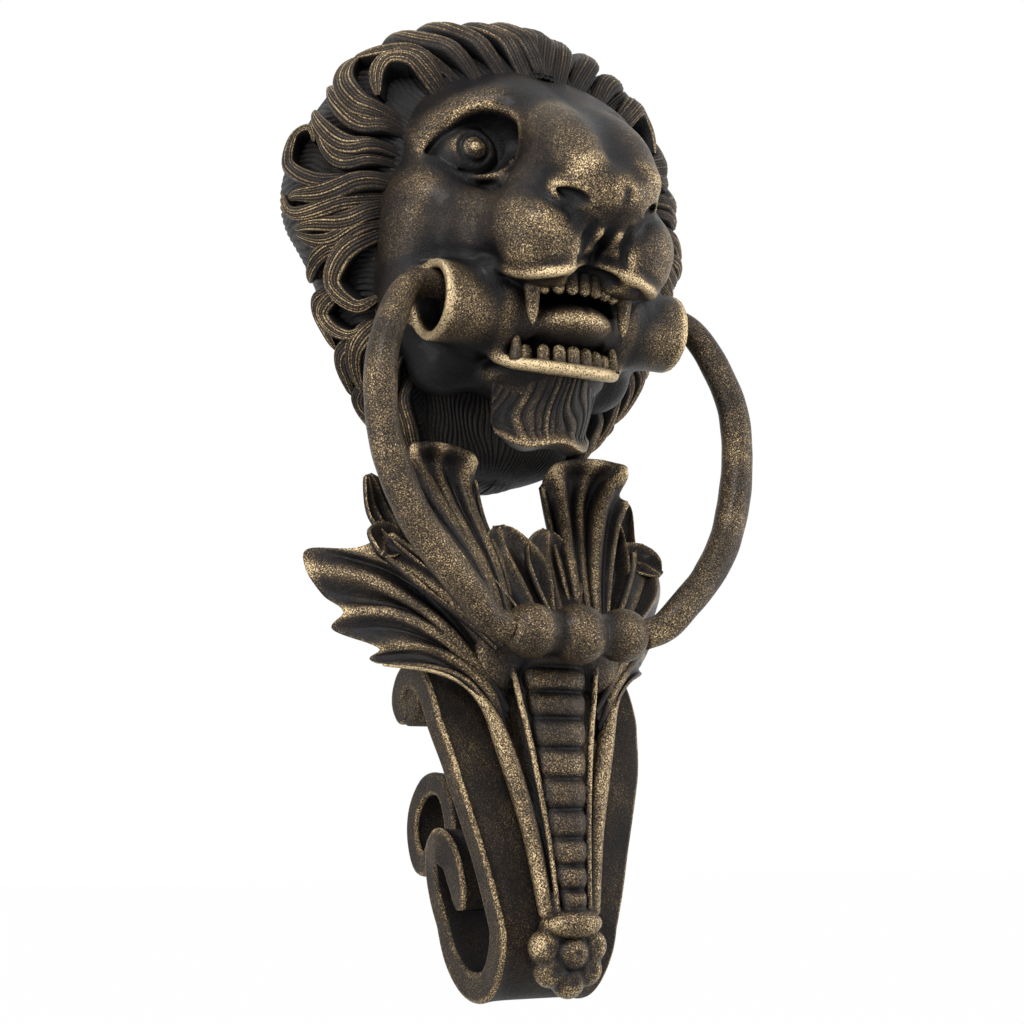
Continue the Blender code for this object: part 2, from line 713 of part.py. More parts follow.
def add_lobe(clay, name, side):
    """A cupped and fluted blade along a smooth midrib, as an open grid that is thickened later."""
    midrib, half_width, facing = LOBES[name]
    line = smooth_line([Vector((side * x, y, z)) * MM for x, y, z in midrib], 8)
    front = Vector((side * facing[0], *facing[1:])).normalized()
    grid = bmesh.ops.create_grid(clay, x_segments=LEAF_COLUMNS, y_segments=LEAF_ROWS, size=1)
    for vert in grid["verts"]:
        across = vert.co.x
        share = (vert.co.y + 1) / 2
        place = share * (len(line) - 1)
        low = min(int(place), len(line) - 2)
        centre = line[low].lerp(line[low + 1], place - low)
        tangent = (line[low + 1] - line[low]).normalized()
        sideways = tangent.cross(front).normalized()
        normal = sideways.cross(tangent).normalized()
        reach = half_width * MM * lobe_width(share, 0.9 if name in FAN_LOBES else 0.72)
        flute = FLUTE_DEPTH * math.cos(2 * math.pi * LEAF_FLUTES * across)
        vert.co = centre + sideways * (across * reach) + normal * reach * (LEAF_CUP * across**2 + flute)


def leaf_shell():
    """Every lobe of both leaves, thickened."""
    clay = bmesh.new()
    for name in LOBES:
        for side in (1, -1):
            add_lobe(clay, name, side)
    return thickened(clay, "leaf_shell", LEAF_THICKNESS)


def tongue_ribs():
    """(middle, half height, half width) of each rib from the top down."""
    heights = [RIB_SHRINK**index for index in range(TONGUE_RIBS)]
    length = (TONGUE_FOOT - TONGUE_TOP).length / sum(heights)
    done = 0.0
    for height in heights:
        share = (done + height / 2) / sum(heights)
        half_width = TONGUE_HALF_TOP + (TONGUE_HALF_FOOT - TONGUE_HALF_TOP) * share
        yield TONGUE_TOP.lerp(TONGUE_FOOT, share), height * length / 2, half_width
        done += height


def build_leaf(collection, material):
    clay = bmesh.new()
    add_mesh(clay, leaf_shell())
    add_strands(clay, [RAIL], mirror=True)
    lean = math.degrees(math.atan2(TONGUE_TOP.y - TONGUE_FOOT.y, TONGUE_TOP.z - TONGUE_FOOT.z))
    for middle, half_height, half_width in tongue_ribs():
        rib = (half_width / MM, 4.2, half_height / MM * 1.12)
        add_ball(clay, middle / MM, rib, pitch=-lean)
        bed = middle / MM + Vector((0, 4.5, 0))
        add_ball(clay, bed, ((half_width / MM) * 1.75, 4.5, half_height / MM * 1.9), pitch=-lean)
    for bead in (-1, 0, 1):
        add_ball(clay, (bead * BEAD_PITCH / MM, BARREL_Y / MM, BARREL_Z / MM), (BEAD_RADIUS / MM,) * 3)
    add_ball(clay, (0, -66, -122), (17, 9, 11))
    foot = (0, ROSETTE_Y / MM + 5, ROSETTE_Z / MM + 2)
    add_ball(clay, foot, (9.5, 5, 12), pitch=-lean)
    middle = Vector((0, BARREL_Y, BARREL_Z))
    along = Vector((BARREL_HALF, 0, 0))
    add_cylinder(clay, middle - along, middle + along, BARREL_RADIUS)
    skin = fuse(clay, "leaf_drop", LEAF_VOXEL, 2, LEAF_FACES)
    leaf = new_object("leaf_drop", skin, collection, material)

    bores = bmesh.new()
    for side in (1, -1):
        inner = middle + Vector((side * (TENON_END - GAP), 0, 0))
        outer = middle + Vector((side * (SHOULDER + 14 * MM), 0, 0))
        add_cylinder(bores, inner, outer, TENON_RADIUS + GAP, 16)
        face = middle + Vector((side * (SHOULDER - 1.2 * MM), 0, 0))
        add_cylinder(bores, face, face + Vector((side * 14 * MM, 0, 0)), ARM_RADIUS + 1.2 * MM, 20)
    boolean(leaf, new_cutter("tenon_bores", mesh_from(bores, "tenon_bores")))
    boolean(leaf, PIN_HOLES)
    boolean(leaf, new_cutter("scroll_seat", strap_solid(GAP)))
    boolean(leaf, new_cutter("leaf_screw_hole", screw_hole()))
    boolean(leaf, new_cutter("rosette_seat", rosette_blank(3 * GAP)))
    smooth_shade(leaf)


# Knocker: scroll hammer. Side profile of its straps in mm, as (y, z) along the middle of the strap.

STRAP_LINE = (
    (-34, -142),
    (-29, -136),
    (-34, -129.5),
    (-43.5, -131),
    (-49.5, -138),
    (-53.5, -147),
    (-57.5, -158),
    (-61, -178),
    (-63, -195),
    (-62, -208),
    (-54, -218.3),
    (-42, -219.3),
    (-32, -211.5),
    (-28, -197),
    (-30, -185),
    (-36.5, -179),
    (-43.5, -182.5),
    (-44.5, -190.5),
)
HAMMER_LINE = (
    (-31.5, -181),
    (-29, -169),
    (-23, -161.5),
    (-13, -161.5),
    (-5.5, -168.5),
    (-4.2, -177),
    (-8.5, -184.5),
    (-16, -184),
    (-18.5, -176.5),
)
# Front outline of the scroll on the +X side: (half width, z)
STRAP_OUTLINE = ((36, -122), (34.5, -144), (31, -160), (25, -181), (19.3, -203), (17, -228))


def side_ribbon(line, half_width, thickness):
    """A strap of even thickness along a side profile, as wide as twice half_width."""
    curve = bpy.data.curves.new("ribbon", "CURVE")
    curve.dimensions = "2D"
    curve.fill_mode = "NONE"
    curve.extrude = half_width
    spline = curve.splines.new("POLY")
    points = smooth_line([Vector((y, z, 0)) * MM for y, z in line], 3)
    spline.points.add(len(points) - 1)
    for target, point in zip(spline.points, points):
        target.co = (*point, 1)
    ribbon = bpy.data.objects.new("ribbon", curve)
    bpy.context.scene.collection.objects.link(ribbon)
    ribbon.matrix_world = Matrix(((0, 0, 1, 0), (1, 0, 0, 0), (0, 1, 0, 0), (0, 0, 0, 1)))
    band = new_object("band", evaluated_mesh(ribbon), bpy.context.scene.collection)
    bpy.data.objects.remove(ribbon)
    thicken = band.modifiers.new("thickness", "SOLIDIFY")
    thicken.thickness = thickness
    thicken.offset = 0
    thicken.use_even_offset = True
    mesh = evaluated_mesh(band)
    bpy.data.objects.remove(band)
    clay = bmesh.new()
    add_mesh(clay, mesh)
    return mesh_from(clay, "band")


def outline_block(grow):
    """The scroll's front outline, extruded through its depth."""
    curve = bpy.data.curves.new("outline", "CURVE")
    curve.dimensions = "2D"
    curve.fill_mode = "BOTH"
    curve.extrude = 0.15
    right = smooth_line([Vector((half, z, 0)) * MM for half, z in STRAP_OUTLINE], 3)
    corners = [Vector((p.x + grow, p.y)) for p in right]
    corners += [Vector((-p.x, p.y)) for p in reversed(corners)]
    spline = curve.splines.new("POLY")
    spline.points.add(len(corners) - 1)
    for target, corner in zip(spline.points, corners):
        target.co = (*corner, 0, 1)
    spline.use_cyclic_u = True
    block = bpy.data.objects.new("outline", curve)
    bpy.context.scene.collection.objects.link(block)
    block.matrix_world = Matrix.Rotation(math.pi / 2, 4, "X")
    mesh = evaluated_mesh(block)
    bpy.data.objects.remove(block)
    clay = bmesh.new()
    add_mesh(clay, mesh)
    return mesh_from(clay, "outline_block")


def strap_solid(grow):
    """The main strap, trimmed to the front outline; grow gives a larger cutter for its seat."""
    strap = new_object("strap", side_ribbon(STRAP_LINE, 0.045, STRAP_THICKNESS + 2 * grow), CUTTERS)
    block = new_cutter("strap_outline", outline_block(grow))
    boolean(strap, block, "INTERSECT", coiled=True)
    mesh = evaluated_mesh(strap)
    bpy.data.objects.remove(strap)
    bpy.data.objects.remove(block)
    return mesh


def build_scroll(collection, material):
    scroll = new_object("scroll_hammer", strap_solid(0), collection, material)
    volute = side_ribbon(HAMMER_LINE, HAMMER_HALF_WIDTH, HAMMER_THICKNESS)
    boolean(scroll, new_cutter("hammer_volute", volute), "UNION", coiled=True)
    eyes = (
        ("strap_eye", STRAP_LINE[-1], 20.5 * MM, STRAP_EYE_RADIUS),
        ("hammer_eye", HAMMER_LINE[-1], HAMMER_HALF_WIDTH - 0.5 * MM, HAMMER_EYE_RADIUS),
    )
    for name, (y, z), half, radius in eyes:
        middle = Vector((0, y, z)) * MM
        reach = Vector((half, 0, 0))
        roll = cylinder(middle - reach, middle + reach, radius, name, 20)
        boolean(scroll, new_cutter(name, roll), "UNION")
    boolean(scroll, new_cutter("scroll_screw_tapping", screw_hole()))
    smooth_shade(scroll)


# Knocker: rosette screw


def screw_hole():
    """The hole for the rosette's shank, through the leaf casting's foot and into the scroll."""
    mouth = Vector((0, ROSETTE_Y - 20 * MM, ROSETTE_Z))
    floor = Vector((0, SCREW_TIP_Y + GAP, ROSETTE_Z))
    return cylinder(mouth, floor, SCREW_RADIUS + GAP, "screw_hole", 16)


def rosette_blank(grow):
    """A ring of round petals about a raised middle bead."""
    clay = bmesh.new()
    middle = Vector((0, ROSETTE_Y, ROSETTE_Z)) / MM
    petal = (PETAL_RADIUS + grow) / MM
    ring = ROSETTE_RADIUS / MM
    for index in range(PETALS):
        turn = 2 * math.pi * (index + 0.5) / PETALS
        add_ball(clay, middle + Vector((ring * math.sin(turn), 0, ring * math.cos(turn))), (petal,) * 3)
    add_ball(clay, middle, (ring, 3 + grow / MM, ring))
    add_ball(clay, middle - Vector((0, 2.5, 0)), (petal * 1.1,) * 3)
    return fuse(clay, "rosette", ROSETTE_VOXEL, 1, ROSETTE_FACES)


def build_rosette(collection, material):
    rosette = new_object("rosette_screw", rosette_blank(0), collection, material)
    start = Vector((0, ROSETTE_Y - 1 * MM, ROSETTE_Z))
    shank = cylinder(start, Vector((0, SCREW_TIP_Y, ROSETTE_Z)), SCREW_RADIUS, "shank", 16)
    boolean(rosette, new_cutter("rosette_shank", shank), "UNION")
    smooth_shade(rosette)


clear_scene()
KNOCKER = new_collection("lion_door_knocker")
CUTTERS = new_collection("cutters")
IRON = new_material("dark bronzed iron", DARK_BRONZE, 0.5, 0.85)
GILT = new_material("rubbed bronze", GILT_BRONZE, 0.4, 0.9)
STEEL = new_material("zinc plated steel", ZINC, 0.4, 1.0)

holes = bmesh.new()
for hand in (1, -1):
    hole_mesh = pin_mesh(hand, GAP, 30 * MM)
    holes.from_mesh(hole_mesh)
    bpy.data.meshes.remove(hole_mesh)
PIN_HOLES = new_cutter("pin_holes", mesh_from(holes, "pin_holes"))

build_head(KNOCKER, IRON)
build_fixings(KNOCKER, STEEL)
for label, hand in (("left", -1), ("right", 1)):
    build_arm(f"bail_arm_{label}", hand, KNOCKER, GILT)
    pin = pin_mesh(hand, 0, PIN_LENGTH - PIN_SINK)
    smooth_shade(new_object(f"arm_pin_{label}", pin, KNOCKER, STEEL))
build_leaf(KNOCKER, IRON)
build_scroll(KNOCKER, IRON)
build_rosette(KNOCKER, GILT)
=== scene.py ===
"""Dresses the lion's head door knocker: sculpted head and mane, bail, acanthus drop and scroll.

Lengths in the shape functions are millimetres; they become metres where a mesh is made.
"""

import math

import bpy
import numpy as np
import openvdb
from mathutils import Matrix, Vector


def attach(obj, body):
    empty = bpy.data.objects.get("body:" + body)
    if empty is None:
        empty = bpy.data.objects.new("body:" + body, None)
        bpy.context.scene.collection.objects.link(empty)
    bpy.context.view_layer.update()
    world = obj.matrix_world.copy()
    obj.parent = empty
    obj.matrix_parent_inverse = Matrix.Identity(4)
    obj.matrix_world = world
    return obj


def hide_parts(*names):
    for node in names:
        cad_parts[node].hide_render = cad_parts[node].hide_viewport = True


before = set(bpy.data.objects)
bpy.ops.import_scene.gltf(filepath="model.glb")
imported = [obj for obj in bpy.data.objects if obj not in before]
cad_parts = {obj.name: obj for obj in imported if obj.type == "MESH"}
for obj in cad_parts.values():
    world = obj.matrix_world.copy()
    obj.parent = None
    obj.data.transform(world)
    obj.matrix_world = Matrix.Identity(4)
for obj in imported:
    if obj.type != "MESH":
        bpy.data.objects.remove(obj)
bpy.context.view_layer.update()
MM = 0.001

# Where a piece belongs: its body, its material slot, and the node that it replaces
HEAD = ("head", "head_bronze", "lion_head")
LEAF = ("knocker", "drop_bronze", "leaf_drop")
SCROLL = ("knocker", "drop_bronze", "scroll_hammer")
ROSETTE = ("knocker", "drop_bronze", "rosette_screw")
SIDES = ((-1, "left"), (1, "right"))

NEAR_PASSES, WIDE_PASSES = 4, 24  # smoothing passes that average a vertex's surroundings
NEAR_MM, WIDE_MM = 1.0, 4.2  # the same for clay, as lengths
NEAR_GAIN, WIDE_GAIN = 1.6, 0.34


# Lines and meshes


def smooth_line(points, steps):
    """Points along a Catmull-Rom line through the given ones; extra columns such as radii go along."""
    p = np.asarray(points, float)
    ends = np.vstack([2 * p[0] - p[1], p, 2 * p[-1] - p[-2]])
    t = np.linspace(0, 1, steps, endpoint=False)[:, None]
    line = []
    for before, a, b, after in zip(ends, ends[1:], ends[2:], ends[3:]):
        line.append(
            a
            + (b - before) * t / 2
            + (2 * before - 5 * a + 4 * b - after) * t**2 / 2
            + (3 * a - before - 3 * b + after) * t**3 / 2
        )
    return np.vstack([*line, p[-1]])


def even_line(points, count, smooth=True):
    """The line through the points, as count points at equal steps along it."""
    line = smooth_line(points, 16) if smooth else np.asarray(points, float)
    way = np.concatenate([[0], np.cumsum(np.linalg.norm(np.diff(line[:, :3], axis=0), axis=1))])
    at = np.linspace(0, way[-1], count)
    return np.stack([np.interp(at, way, line[:, k]) for k in range(line.shape[1])], axis=1)


def at_share(line, share):
    """Points of an even line at shares from 0 to 1."""
    place = np.clip(share, 0, 1) * (len(line) - 1)
    low = np.minimum(place.astype(int), len(line) - 2)
    part = (place - low)[..., None]
    return line[low] * (1 - part) + line[low + 1] * part


def unit(v):
    return v / np.maximum(np.linalg.norm(v, axis=-1, keepdims=True), 1e-9)


def full_turn(count):
    """Angles of count even steps around a circle."""
    return np.linspace(0, 2 * np.pi, count, endpoint=False)


def ease(low, high, value):
    """0 below low, 1 above high, a smooth step between."""
    t = np.clip((value - low) / (high - low), 0, 1)
    return t * t * (3 - 2 * t)


def side_frames(line, facing):
    """Unit vectors along a line, across it and out of it, the last turned towards facing."""
    along = unit(np.gradient(line, axis=0))
    across = unit(np.cross(along, np.broadcast_to(facing, along.shape)))
    return along, across, unit(np.cross(across, along))


def quad_mesh(name, verts, faces):
    """A smooth mesh from vertices in mm and quads."""
    mesh = bpy.data.meshes.new(name)
    mesh.vertices.add(len(verts))
    mesh.vertices.foreach_set("co", (verts * MM).astype(np.float32).ravel())
    mesh.loops.add(faces.size)
    mesh.loops.foreach_set("vertex_index", faces.ravel())
    mesh.polygons.add(len(faces))
    mesh.polygons.foreach_set("loop_start", np.arange(0, faces.size, faces.shape[1], dtype=np.int32))
    mesh.update(calc_edges=True)
    mesh.shade_smooth()
    return mesh


def worn_edges(mesh, verts, faces, base, near, wide):
    """Wear from how far the vertices stand out of their near and their wider surroundings."""
    normals = np.zeros(verts.size, np.float32)
    mesh.vertex_normals.foreach_get("vector", normals)
    here, there = faces.ravel(), np.roll(faces, -1, axis=1).ravel()
    here, there = np.concatenate([here, there]), np.concatenate([there, here])
    shared = np.bincount(here)[:, None]
    gains = {NEAR_PASSES: near, WIDE_PASSES: wide}
    calm, wear = verts, base
    for step in range(1, WIDE_PASSES + 1):
        total = np.stack([np.bincount(here, axis[there]) for axis in calm.T], axis=1)
        calm = 0.4 * calm + 0.6 * total / shared
        if step in gains:
            wear = wear + gains[step] * ((verts - calm) * normals.reshape(-1, 3)).sum(axis=1)
    return wear


def new_object(name, data):
    made = bpy.data.objects.new(name, data)
    bpy.context.scene.collection.objects.link(made)
    return made


def make_object(name, verts, faces, place, material, wear):
    """A piece from vertices in mm and quads; wear is a value for each vertex, or worn_edges' last three."""
    verts, faces = np.asarray(verts, np.float64), np.asarray(faces, np.int32)
    mesh = quad_mesh(name, verts, faces)
    if isinstance(wear, tuple):
        wear = worn_edges(mesh, verts, faces, *wear)
    layer = mesh.attributes.new("wear", "FLOAT", "POINT")
    layer.data.foreach_set("value", np.clip(wear, 0, 1).astype(np.float32))
    mesh.materials.append(material)
    made = new_object(name, mesh)
    body, slot, replaced = place
    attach(made, body)
    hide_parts(replaced)


def grid_faces(rows, columns, closed):
    """Quads of a grid of rows by columns vertices."""
    across = columns if closed else columns - 1
    r, c = np.meshgrid(np.arange(rows - 1), np.arange(across), indexing="ij")
    n = (c + 1) % columns
    here, below = r * columns, (r + 1) * columns
    return np.stack([here + c, here + n, below + n, below + c], axis=-1).reshape(-1, 4)


class Pile:
    """Collects grids of vertices into one piece."""

    def __init__(self):
        self.verts, self.faces, self.wear, self.count = [], [], [], 0

    def add(self, verts, wear=0.0, closed=False, flip=False):
        faces = grid_faces(verts.shape[0], verts.shape[1], closed)
        self.wear.append(np.broadcast_to(wear, verts.shape[:-1]).ravel())
        self.faces.append((faces[:, ::-1] if flip else faces) + self.count)
        self.verts.append(verts.reshape(-1, 3))
        self.count += self.verts[-1].shape[0]

    def done(self, name, place, material, wear=None):
        """Makes the piece, with wear in place of what its grids brought along."""
        wear = np.concatenate(self.wear) if wear is None else wear
        make_object(name, np.vstack(self.verts), np.vstack(self.faces), place, material, wear)


def add_tube(pile, line, radii, sides):
    """A round bar along a line, closed at both ends."""
    _, across, out = side_frames(line, (0.13, -1, 0.21))
    turn = full_turn(sides)
    ring = np.cos(turn)[:, None] * across[:, None] + np.sin(turn)[:, None] * out[:, None]
    verts = line[:, None] + ring * radii[:, None, None]
    first, last = np.repeat(line[:1, None], sides, 1), np.repeat(line[-1:, None], sides, 1)
    pile.add(np.concatenate([first, verts, last]), closed=True, flip=True)


# Clay


class Clay:
    """A distance field on a grid over the +X half, mirrored when it is meshed."""

    def __init__(self, low, high, voxel):
        self.voxel = voxel
        self.low = np.array([0, low[1], low[2]], float)
        self.axes = [np.arange(a, b + voxel, voxel, dtype=np.float32) for a, b in zip(self.low, high)]
        self.d = np.full([len(a) for a in self.axes], 9.0, np.float32)

    def block(self, low, high):
        """The part of the grid between two corners, as slices and as coordinates."""
        cut = []
        for axis, a, b in zip(self.axes, low, high):
            i, j = np.searchsorted(axis, (a, b))
            cut.append(slice(max(0, i - 1), min(len(axis), j + 1)))
        x, y, z = (axis[c] for axis, c in zip(self.axes, cut))
        return tuple(cut), x[:, None, None], y[None, :, None], z[None, None, :]

    def mix(self, cut, d, blend, carve):
        """Adds a form to part of the grid, or carves it out, with a soft join."""
        old = self.d[cut]
        if carve:
            h = np.clip(0.5 - 0.5 * (old + d) / blend, 0, 1)
            self.d[cut] = old * (1 - h) - d * h + blend * h * (1 - h)
        else:
            h = np.clip(0.5 + 0.5 * (old - d) / blend, 0, 1)
            self.d[cut] = old * (1 - h) + d * h - blend * h * (1 - h)

    def ball(self, centre, radii, blend=1.0, yaw=0.0, carve=False, both=False):
        """An ellipsoid, turned by yaw degrees about Z."""
        if both:
            self.ball((-centre[0], *centre[1:]), radii, blend, -yaw, carve)
        c, r = np.array(centre, float), np.array(radii, float)
        reach = r.max() + blend + 3 * self.voxel
        cut, x, y, z = self.block(c - reach, c + reach)
        x, y, z = x - c[0], y - c[1], z - c[2]
        if yaw:
            a = math.radians(yaw)
            x, y = x * math.cos(a) + y * math.sin(a), -x * math.sin(a) + y * math.cos(a)
        k0 = np.sqrt((x / r[0]) ** 2 + (y / r[1]) ** 2 + (z / r[2]) ** 2)
        k1 = np.sqrt((x / r[0] ** 2) ** 2 + (y / r[1] ** 2) ** 2 + (z / r[2] ** 2) ** 2)
        self.mix(cut, (k0 * (k0 - 1) / np.maximum(k1, 1e-6)).astype(np.float32), blend, carve)

    def rope(self, points, blend=1.0, carve=False, both=False, steps=4):
        """A round strand along a smooth line of (x, y, z, radius)."""
        if both:
            self.rope([(-p[0], *p[1:]) for p in points], blend, carve, False, steps)
        line = smooth_line(points, steps)
        low, high = line[:, :3].min(0), line[:, :3].max(0)
        reach = line[:, 3].max() + blend + 3 * self.voxel
        cut, x, y, z = self.block(low - reach, high + reach)
        best = np.full((x.shape[0], y.shape[1], z.shape[2]), 50, np.float32)
        for a, b in zip(line[:-1], line[1:]):
            run = b[:3] - a[:3]
            px, py, pz = x - a[0], y - a[1], z - a[2]
            h = np.clip((px * run[0] + py * run[1] + pz * run[2]) / max(run @ run, 1e-9), 0, 1)
            d = np.sqrt((px - h * run[0]) ** 2 + (py - h * run[1]) ** 2 + (pz - h * run[2]) ** 2)
            np.minimum(best, d - (a[3] + h * (b[3] - a[3])), out=best)
        self.mix(cut, best, blend, carve)

    def field(self, d, blend, carve=False):
        """A form given by its distances on the whole grid."""
        self.mix((slice(None),) * 3, d.astype(np.float32), blend, carve)

    def grids(self):
        x, y, z = self.axes
        return x[:, None, None], y[None, :, None], z[None, None, :]

    def cut_behind(self, plane):
        """Cuts off what lies past y = plane."""
        self.d = np.maximum(self.d, self.grids()[1] - np.float32(plane))

    def whole(self):
        """The field of both halves."""
        return np.concatenate([self.d[:0:-1], self.d], axis=0)

    def blurred(self, radius):
        """The field, held to a few mm, averaged over a box twice."""
        full = np.clip(self.whole(), -5, 5)
        n = max(1, round(radius / self.voxel))
        for axis in (0, 1, 2) * 2:
            pad = [(n + 1, n) if k == axis else (0, 0) for k in range(3)]
            total = np.cumsum(np.pad(full, pad, mode="edge"), axis=axis, dtype=np.float64)
            every = np.arange(full.shape[axis])
            high, low = np.take(total, every + 2 * n + 1, axis), np.take(total, every, axis)
            full = ((high - low) / (2 * n + 1)).astype(np.float32)
        return full

    def sampled(self, values, places):
        """Values between the grid points, for places counted in grid steps."""
        low = np.clip(np.floor(places).astype(int), 0, np.array(values.shape) - 2)
        part = places - low
        total = np.zeros(len(places))
        for corner in np.ndindex(2, 2, 2):
            share = np.prod(np.where(corner, part, 1 - part), axis=1)
            total += share * values[tuple((low + corner).T)]
        return total

    def piece(self, name, place, material, base, gain, dull=None):
        """The clay as a piece, with brass where it stands out of its surroundings."""
        full = self.whole()
        grid = openvdb.FloatGrid()
        grid.copyFromArray(np.ascontiguousarray(full))
        verts, quads = grid.convertToQuads()
        relief = self.blurred(NEAR_MM) * NEAR_GAIN + self.blurred(WIDE_MM) * WIDE_GAIN
        stand = self.sampled(relief, verts)
        start = np.array([-self.voxel * (self.d.shape[0] - 1), self.low[1], self.low[2]])
        verts, wear = verts * self.voxel + start, base + gain * stand
        # dull lowers the brass by place; for the face it adds painted shade on the jaw and over the eyes
        if dull:
            wear = wear - dull(verts)
        make_object(name, verts, quads[:, ::-1], place, material, wear)


# Materials


def node(tree, kind, **sockets):
    """A new node with values on its sockets; _ in a name stands for a space."""
    made = tree.nodes.new(kind)
    for name, value in sockets.items():
        made.inputs[name.replace("_", " ")].default_value = value
    return made


def math_node(tree, operation, *values, clamp=False):
    made = tree.nodes.new("ShaderNodeMath")
    made.operation = operation
    made.use_clamp = clamp
    for socket, value in zip(made.inputs, values):
        if isinstance(value, (int, float)):
            socket.default_value = value
        else:
            tree.links.new(value, socket)
    return made.outputs[0]


def scaled(tree, value, gain, offset):
    return math_node(tree, "MULTIPLY_ADD", value, gain, offset)


def ramp_node(tree, factor, stops):
    made = tree.nodes.new("ShaderNodeValToRGB")
    tree.links.new(factor, made.inputs["Fac"])
    elements = made.color_ramp.elements
    while len(elements) < len(stops):
        elements.new(0.5)
    for element, (place, colour) in zip(elements, stops):
        element.position = place
        element.color = (*colour, 1)
    return made.outputs["Color"]


def add_bump(tree, shader, height, strength, distance):
    bump = node(tree, "ShaderNodeBump", Strength=strength, Distance=distance)
    tree.links.new(height, bump.inputs["Height"])
    tree.links.new(bump.outputs["Normal"], shader.inputs["Normal"])


def new_material(name):
    """A material, its tree and shader, and a function that adds noise at turned object coordinates."""
    material = bpy.data.materials.new(name)
    material.use_nodes = True
    tree = material.node_tree
    turned = node(tree, "ShaderNodeMapping", Rotation=(0.62, 0.41, 0.93))
    tree.links.new(tree.nodes.new("ShaderNodeTexCoord").outputs["Object"], turned.inputs["Vector"])
    place = turned.outputs["Vector"]

    def noise(scale, detail, rough=0.55):
        made = node(tree, "ShaderNodeTexNoise", Scale=scale, Detail=detail, Roughness=rough)
        tree.links.new(place, made.inputs["Vector"])
        return made.outputs["Fac"]

    return material, tree, tree.nodes["Principled BSDF"], noise


# Bronzing, from the deepest hollows to what is rubbed bright
BRONZE_TONES = (
    (0, (0.0030, 0.0028, 0.0034)),
    (0.25, (0.0095, 0.0080, 0.0075)),
    (0.50, (0.036, 0.026, 0.0175)),
    (0.75, (0.155, 0.108, 0.056)),
    (1, (0.52, 0.40, 0.235)),
)
STEEL_TONES = ((0.25, (0.22, 0.215, 0.20)), (0.75, (0.50, 0.49, 0.46)))


def bronze(name, rub=0.0, grain=2300.0, contrast=1.0, rough=0.24):
    """Dark bronzing with brass specks rubbed on what stands out, pitted like a sand casting."""
    material, tree, shader, noise = new_material(name)
    wear = tree.nodes.new("ShaderNodeAttribute")
    wear.attribute_name = "wear"
    speckle = noise(grain, 2.0, 0.6)
    pits = noise(520.0, 2.0)
    drift = scaled(tree, noise(70.0, 3.0), 0.6, rub - 0.3)
    rubbed = math_node(tree, "ADD", wear.outputs["Fac"], drift, clamp=True)
    depth = scaled(tree, rubbed, 2.2 * contrast, 0.8 * contrast)
    spread = math_node(tree, "MULTIPLY", math_node(tree, "SUBTRACT", speckle, 0.5), depth)
    tone = math_node(tree, "ADD", rubbed, spread, clamp=True)
    tree.links.new(ramp_node(tree, tone, BRONZE_TONES), shader.inputs["Base Color"])
    tree.links.new(scaled(tree, tone, 0.6, 0.3), shader.inputs["Metallic"])
    tree.links.new(scaled(tree, speckle, 0.34, rough), shader.inputs["Roughness"])
    shader.inputs["Specular IOR Level"].default_value = 0.16
    shader.inputs["Coat Weight"].default_value = 0.05
    shader.inputs["Coat Roughness"].default_value = 0.2
    add_bump(tree, shader, scaled(tree, pits, 0.8, speckle), 0.75, 0.0005)
    return material


def steel(name):
    """Plated steel of the fixings, dulled in patches."""
    material, tree, shader, noise = new_material(name)
    tone = scaled(tree, noise(220.0, 4.0), 0.6, 0.2)
    tree.links.new(ramp_node(tree, tone, STEEL_TONES), shader.inputs["Base Color"])
    shader.inputs["Metallic"].default_value = 0.9
    dull = scaled(tree, noise(900.0, 2.0), 0.3, 0.22)
    tree.links.new(dull, shader.inputs["Roughness"])
    add_bump(tree, shader, noise(1600.0, 2.0), 0.25, 0.0002)
    return material


HEAD_BRONZE = bronze("head bronze")
MANE_BRONZE = bronze("mane bronze", grain=2600, contrast=0.8, rough=0.36)
DROP_BRONZE = bronze("drop bronze")
SCROLL_BRONZE = bronze("scroll bronze", rough=0.46)
BAIL_BRONZE = bronze("bail bronze", rub=0.06)
PLATED_STEEL = steel("plated steel")


# Lion's head

AXIS_Y, AXIS_Z = -64.0, -20.0  # the line that the bail turns on
SOCKET_RADIUS, SOCKET_BORE = 12.2, 9.5
SOCKET_ROOT, SOCKET_FLOOR, SOCKET_MOUTH = 14, 26, 42  # places along X
FACE_BACK_Y = -37
STUD_HEIGHTS = (45, -24)
STUD_HOLE_RADIUS, STUD_HOLE_DEPTH = 4.3, 14.3
TEETH_IN_ROW = 7


def skull_clay(clay):
    clay.ball((0, -40, 38), (43, 26, 30), 8)
    clay.ball((0, -34, 14), (46, 30, 36), 10)
    clay.ball((35, -46, 9), (15, 17, 20), 8)
    clay.ball((36, -42, -12), (13, 15, 18), 8)
    # Brow: a soft swelling whose lower side is cut sharp by the eye hollow
    clay.ball((10, -60, 47), (10, 7, 8), 8, both=True)
    brow = [(9, -65, 43, 5), (17, -65.5, 43.5, 4.8), (26, -61, 43.4, 4.2)]
    brow += [(33, -55, 39.5, 3.2), (37, -50, 34.5, 2.4)]
    clay.rope(brow, 10, steps=12)
    # Bridge of the nose
    bridge = [(6, -57, 42, 9.5), (7.4, -71, 36, 10.6), (8.4, -85.5, 25, 11), (8, -97, 13.5, 8.6)]
    clay.rope(bridge, 6, both=True, steps=16)
    # Cheekbone
    clay.ball((35, -54, 14.5), (9, 7, 6), 5, yaw=25)


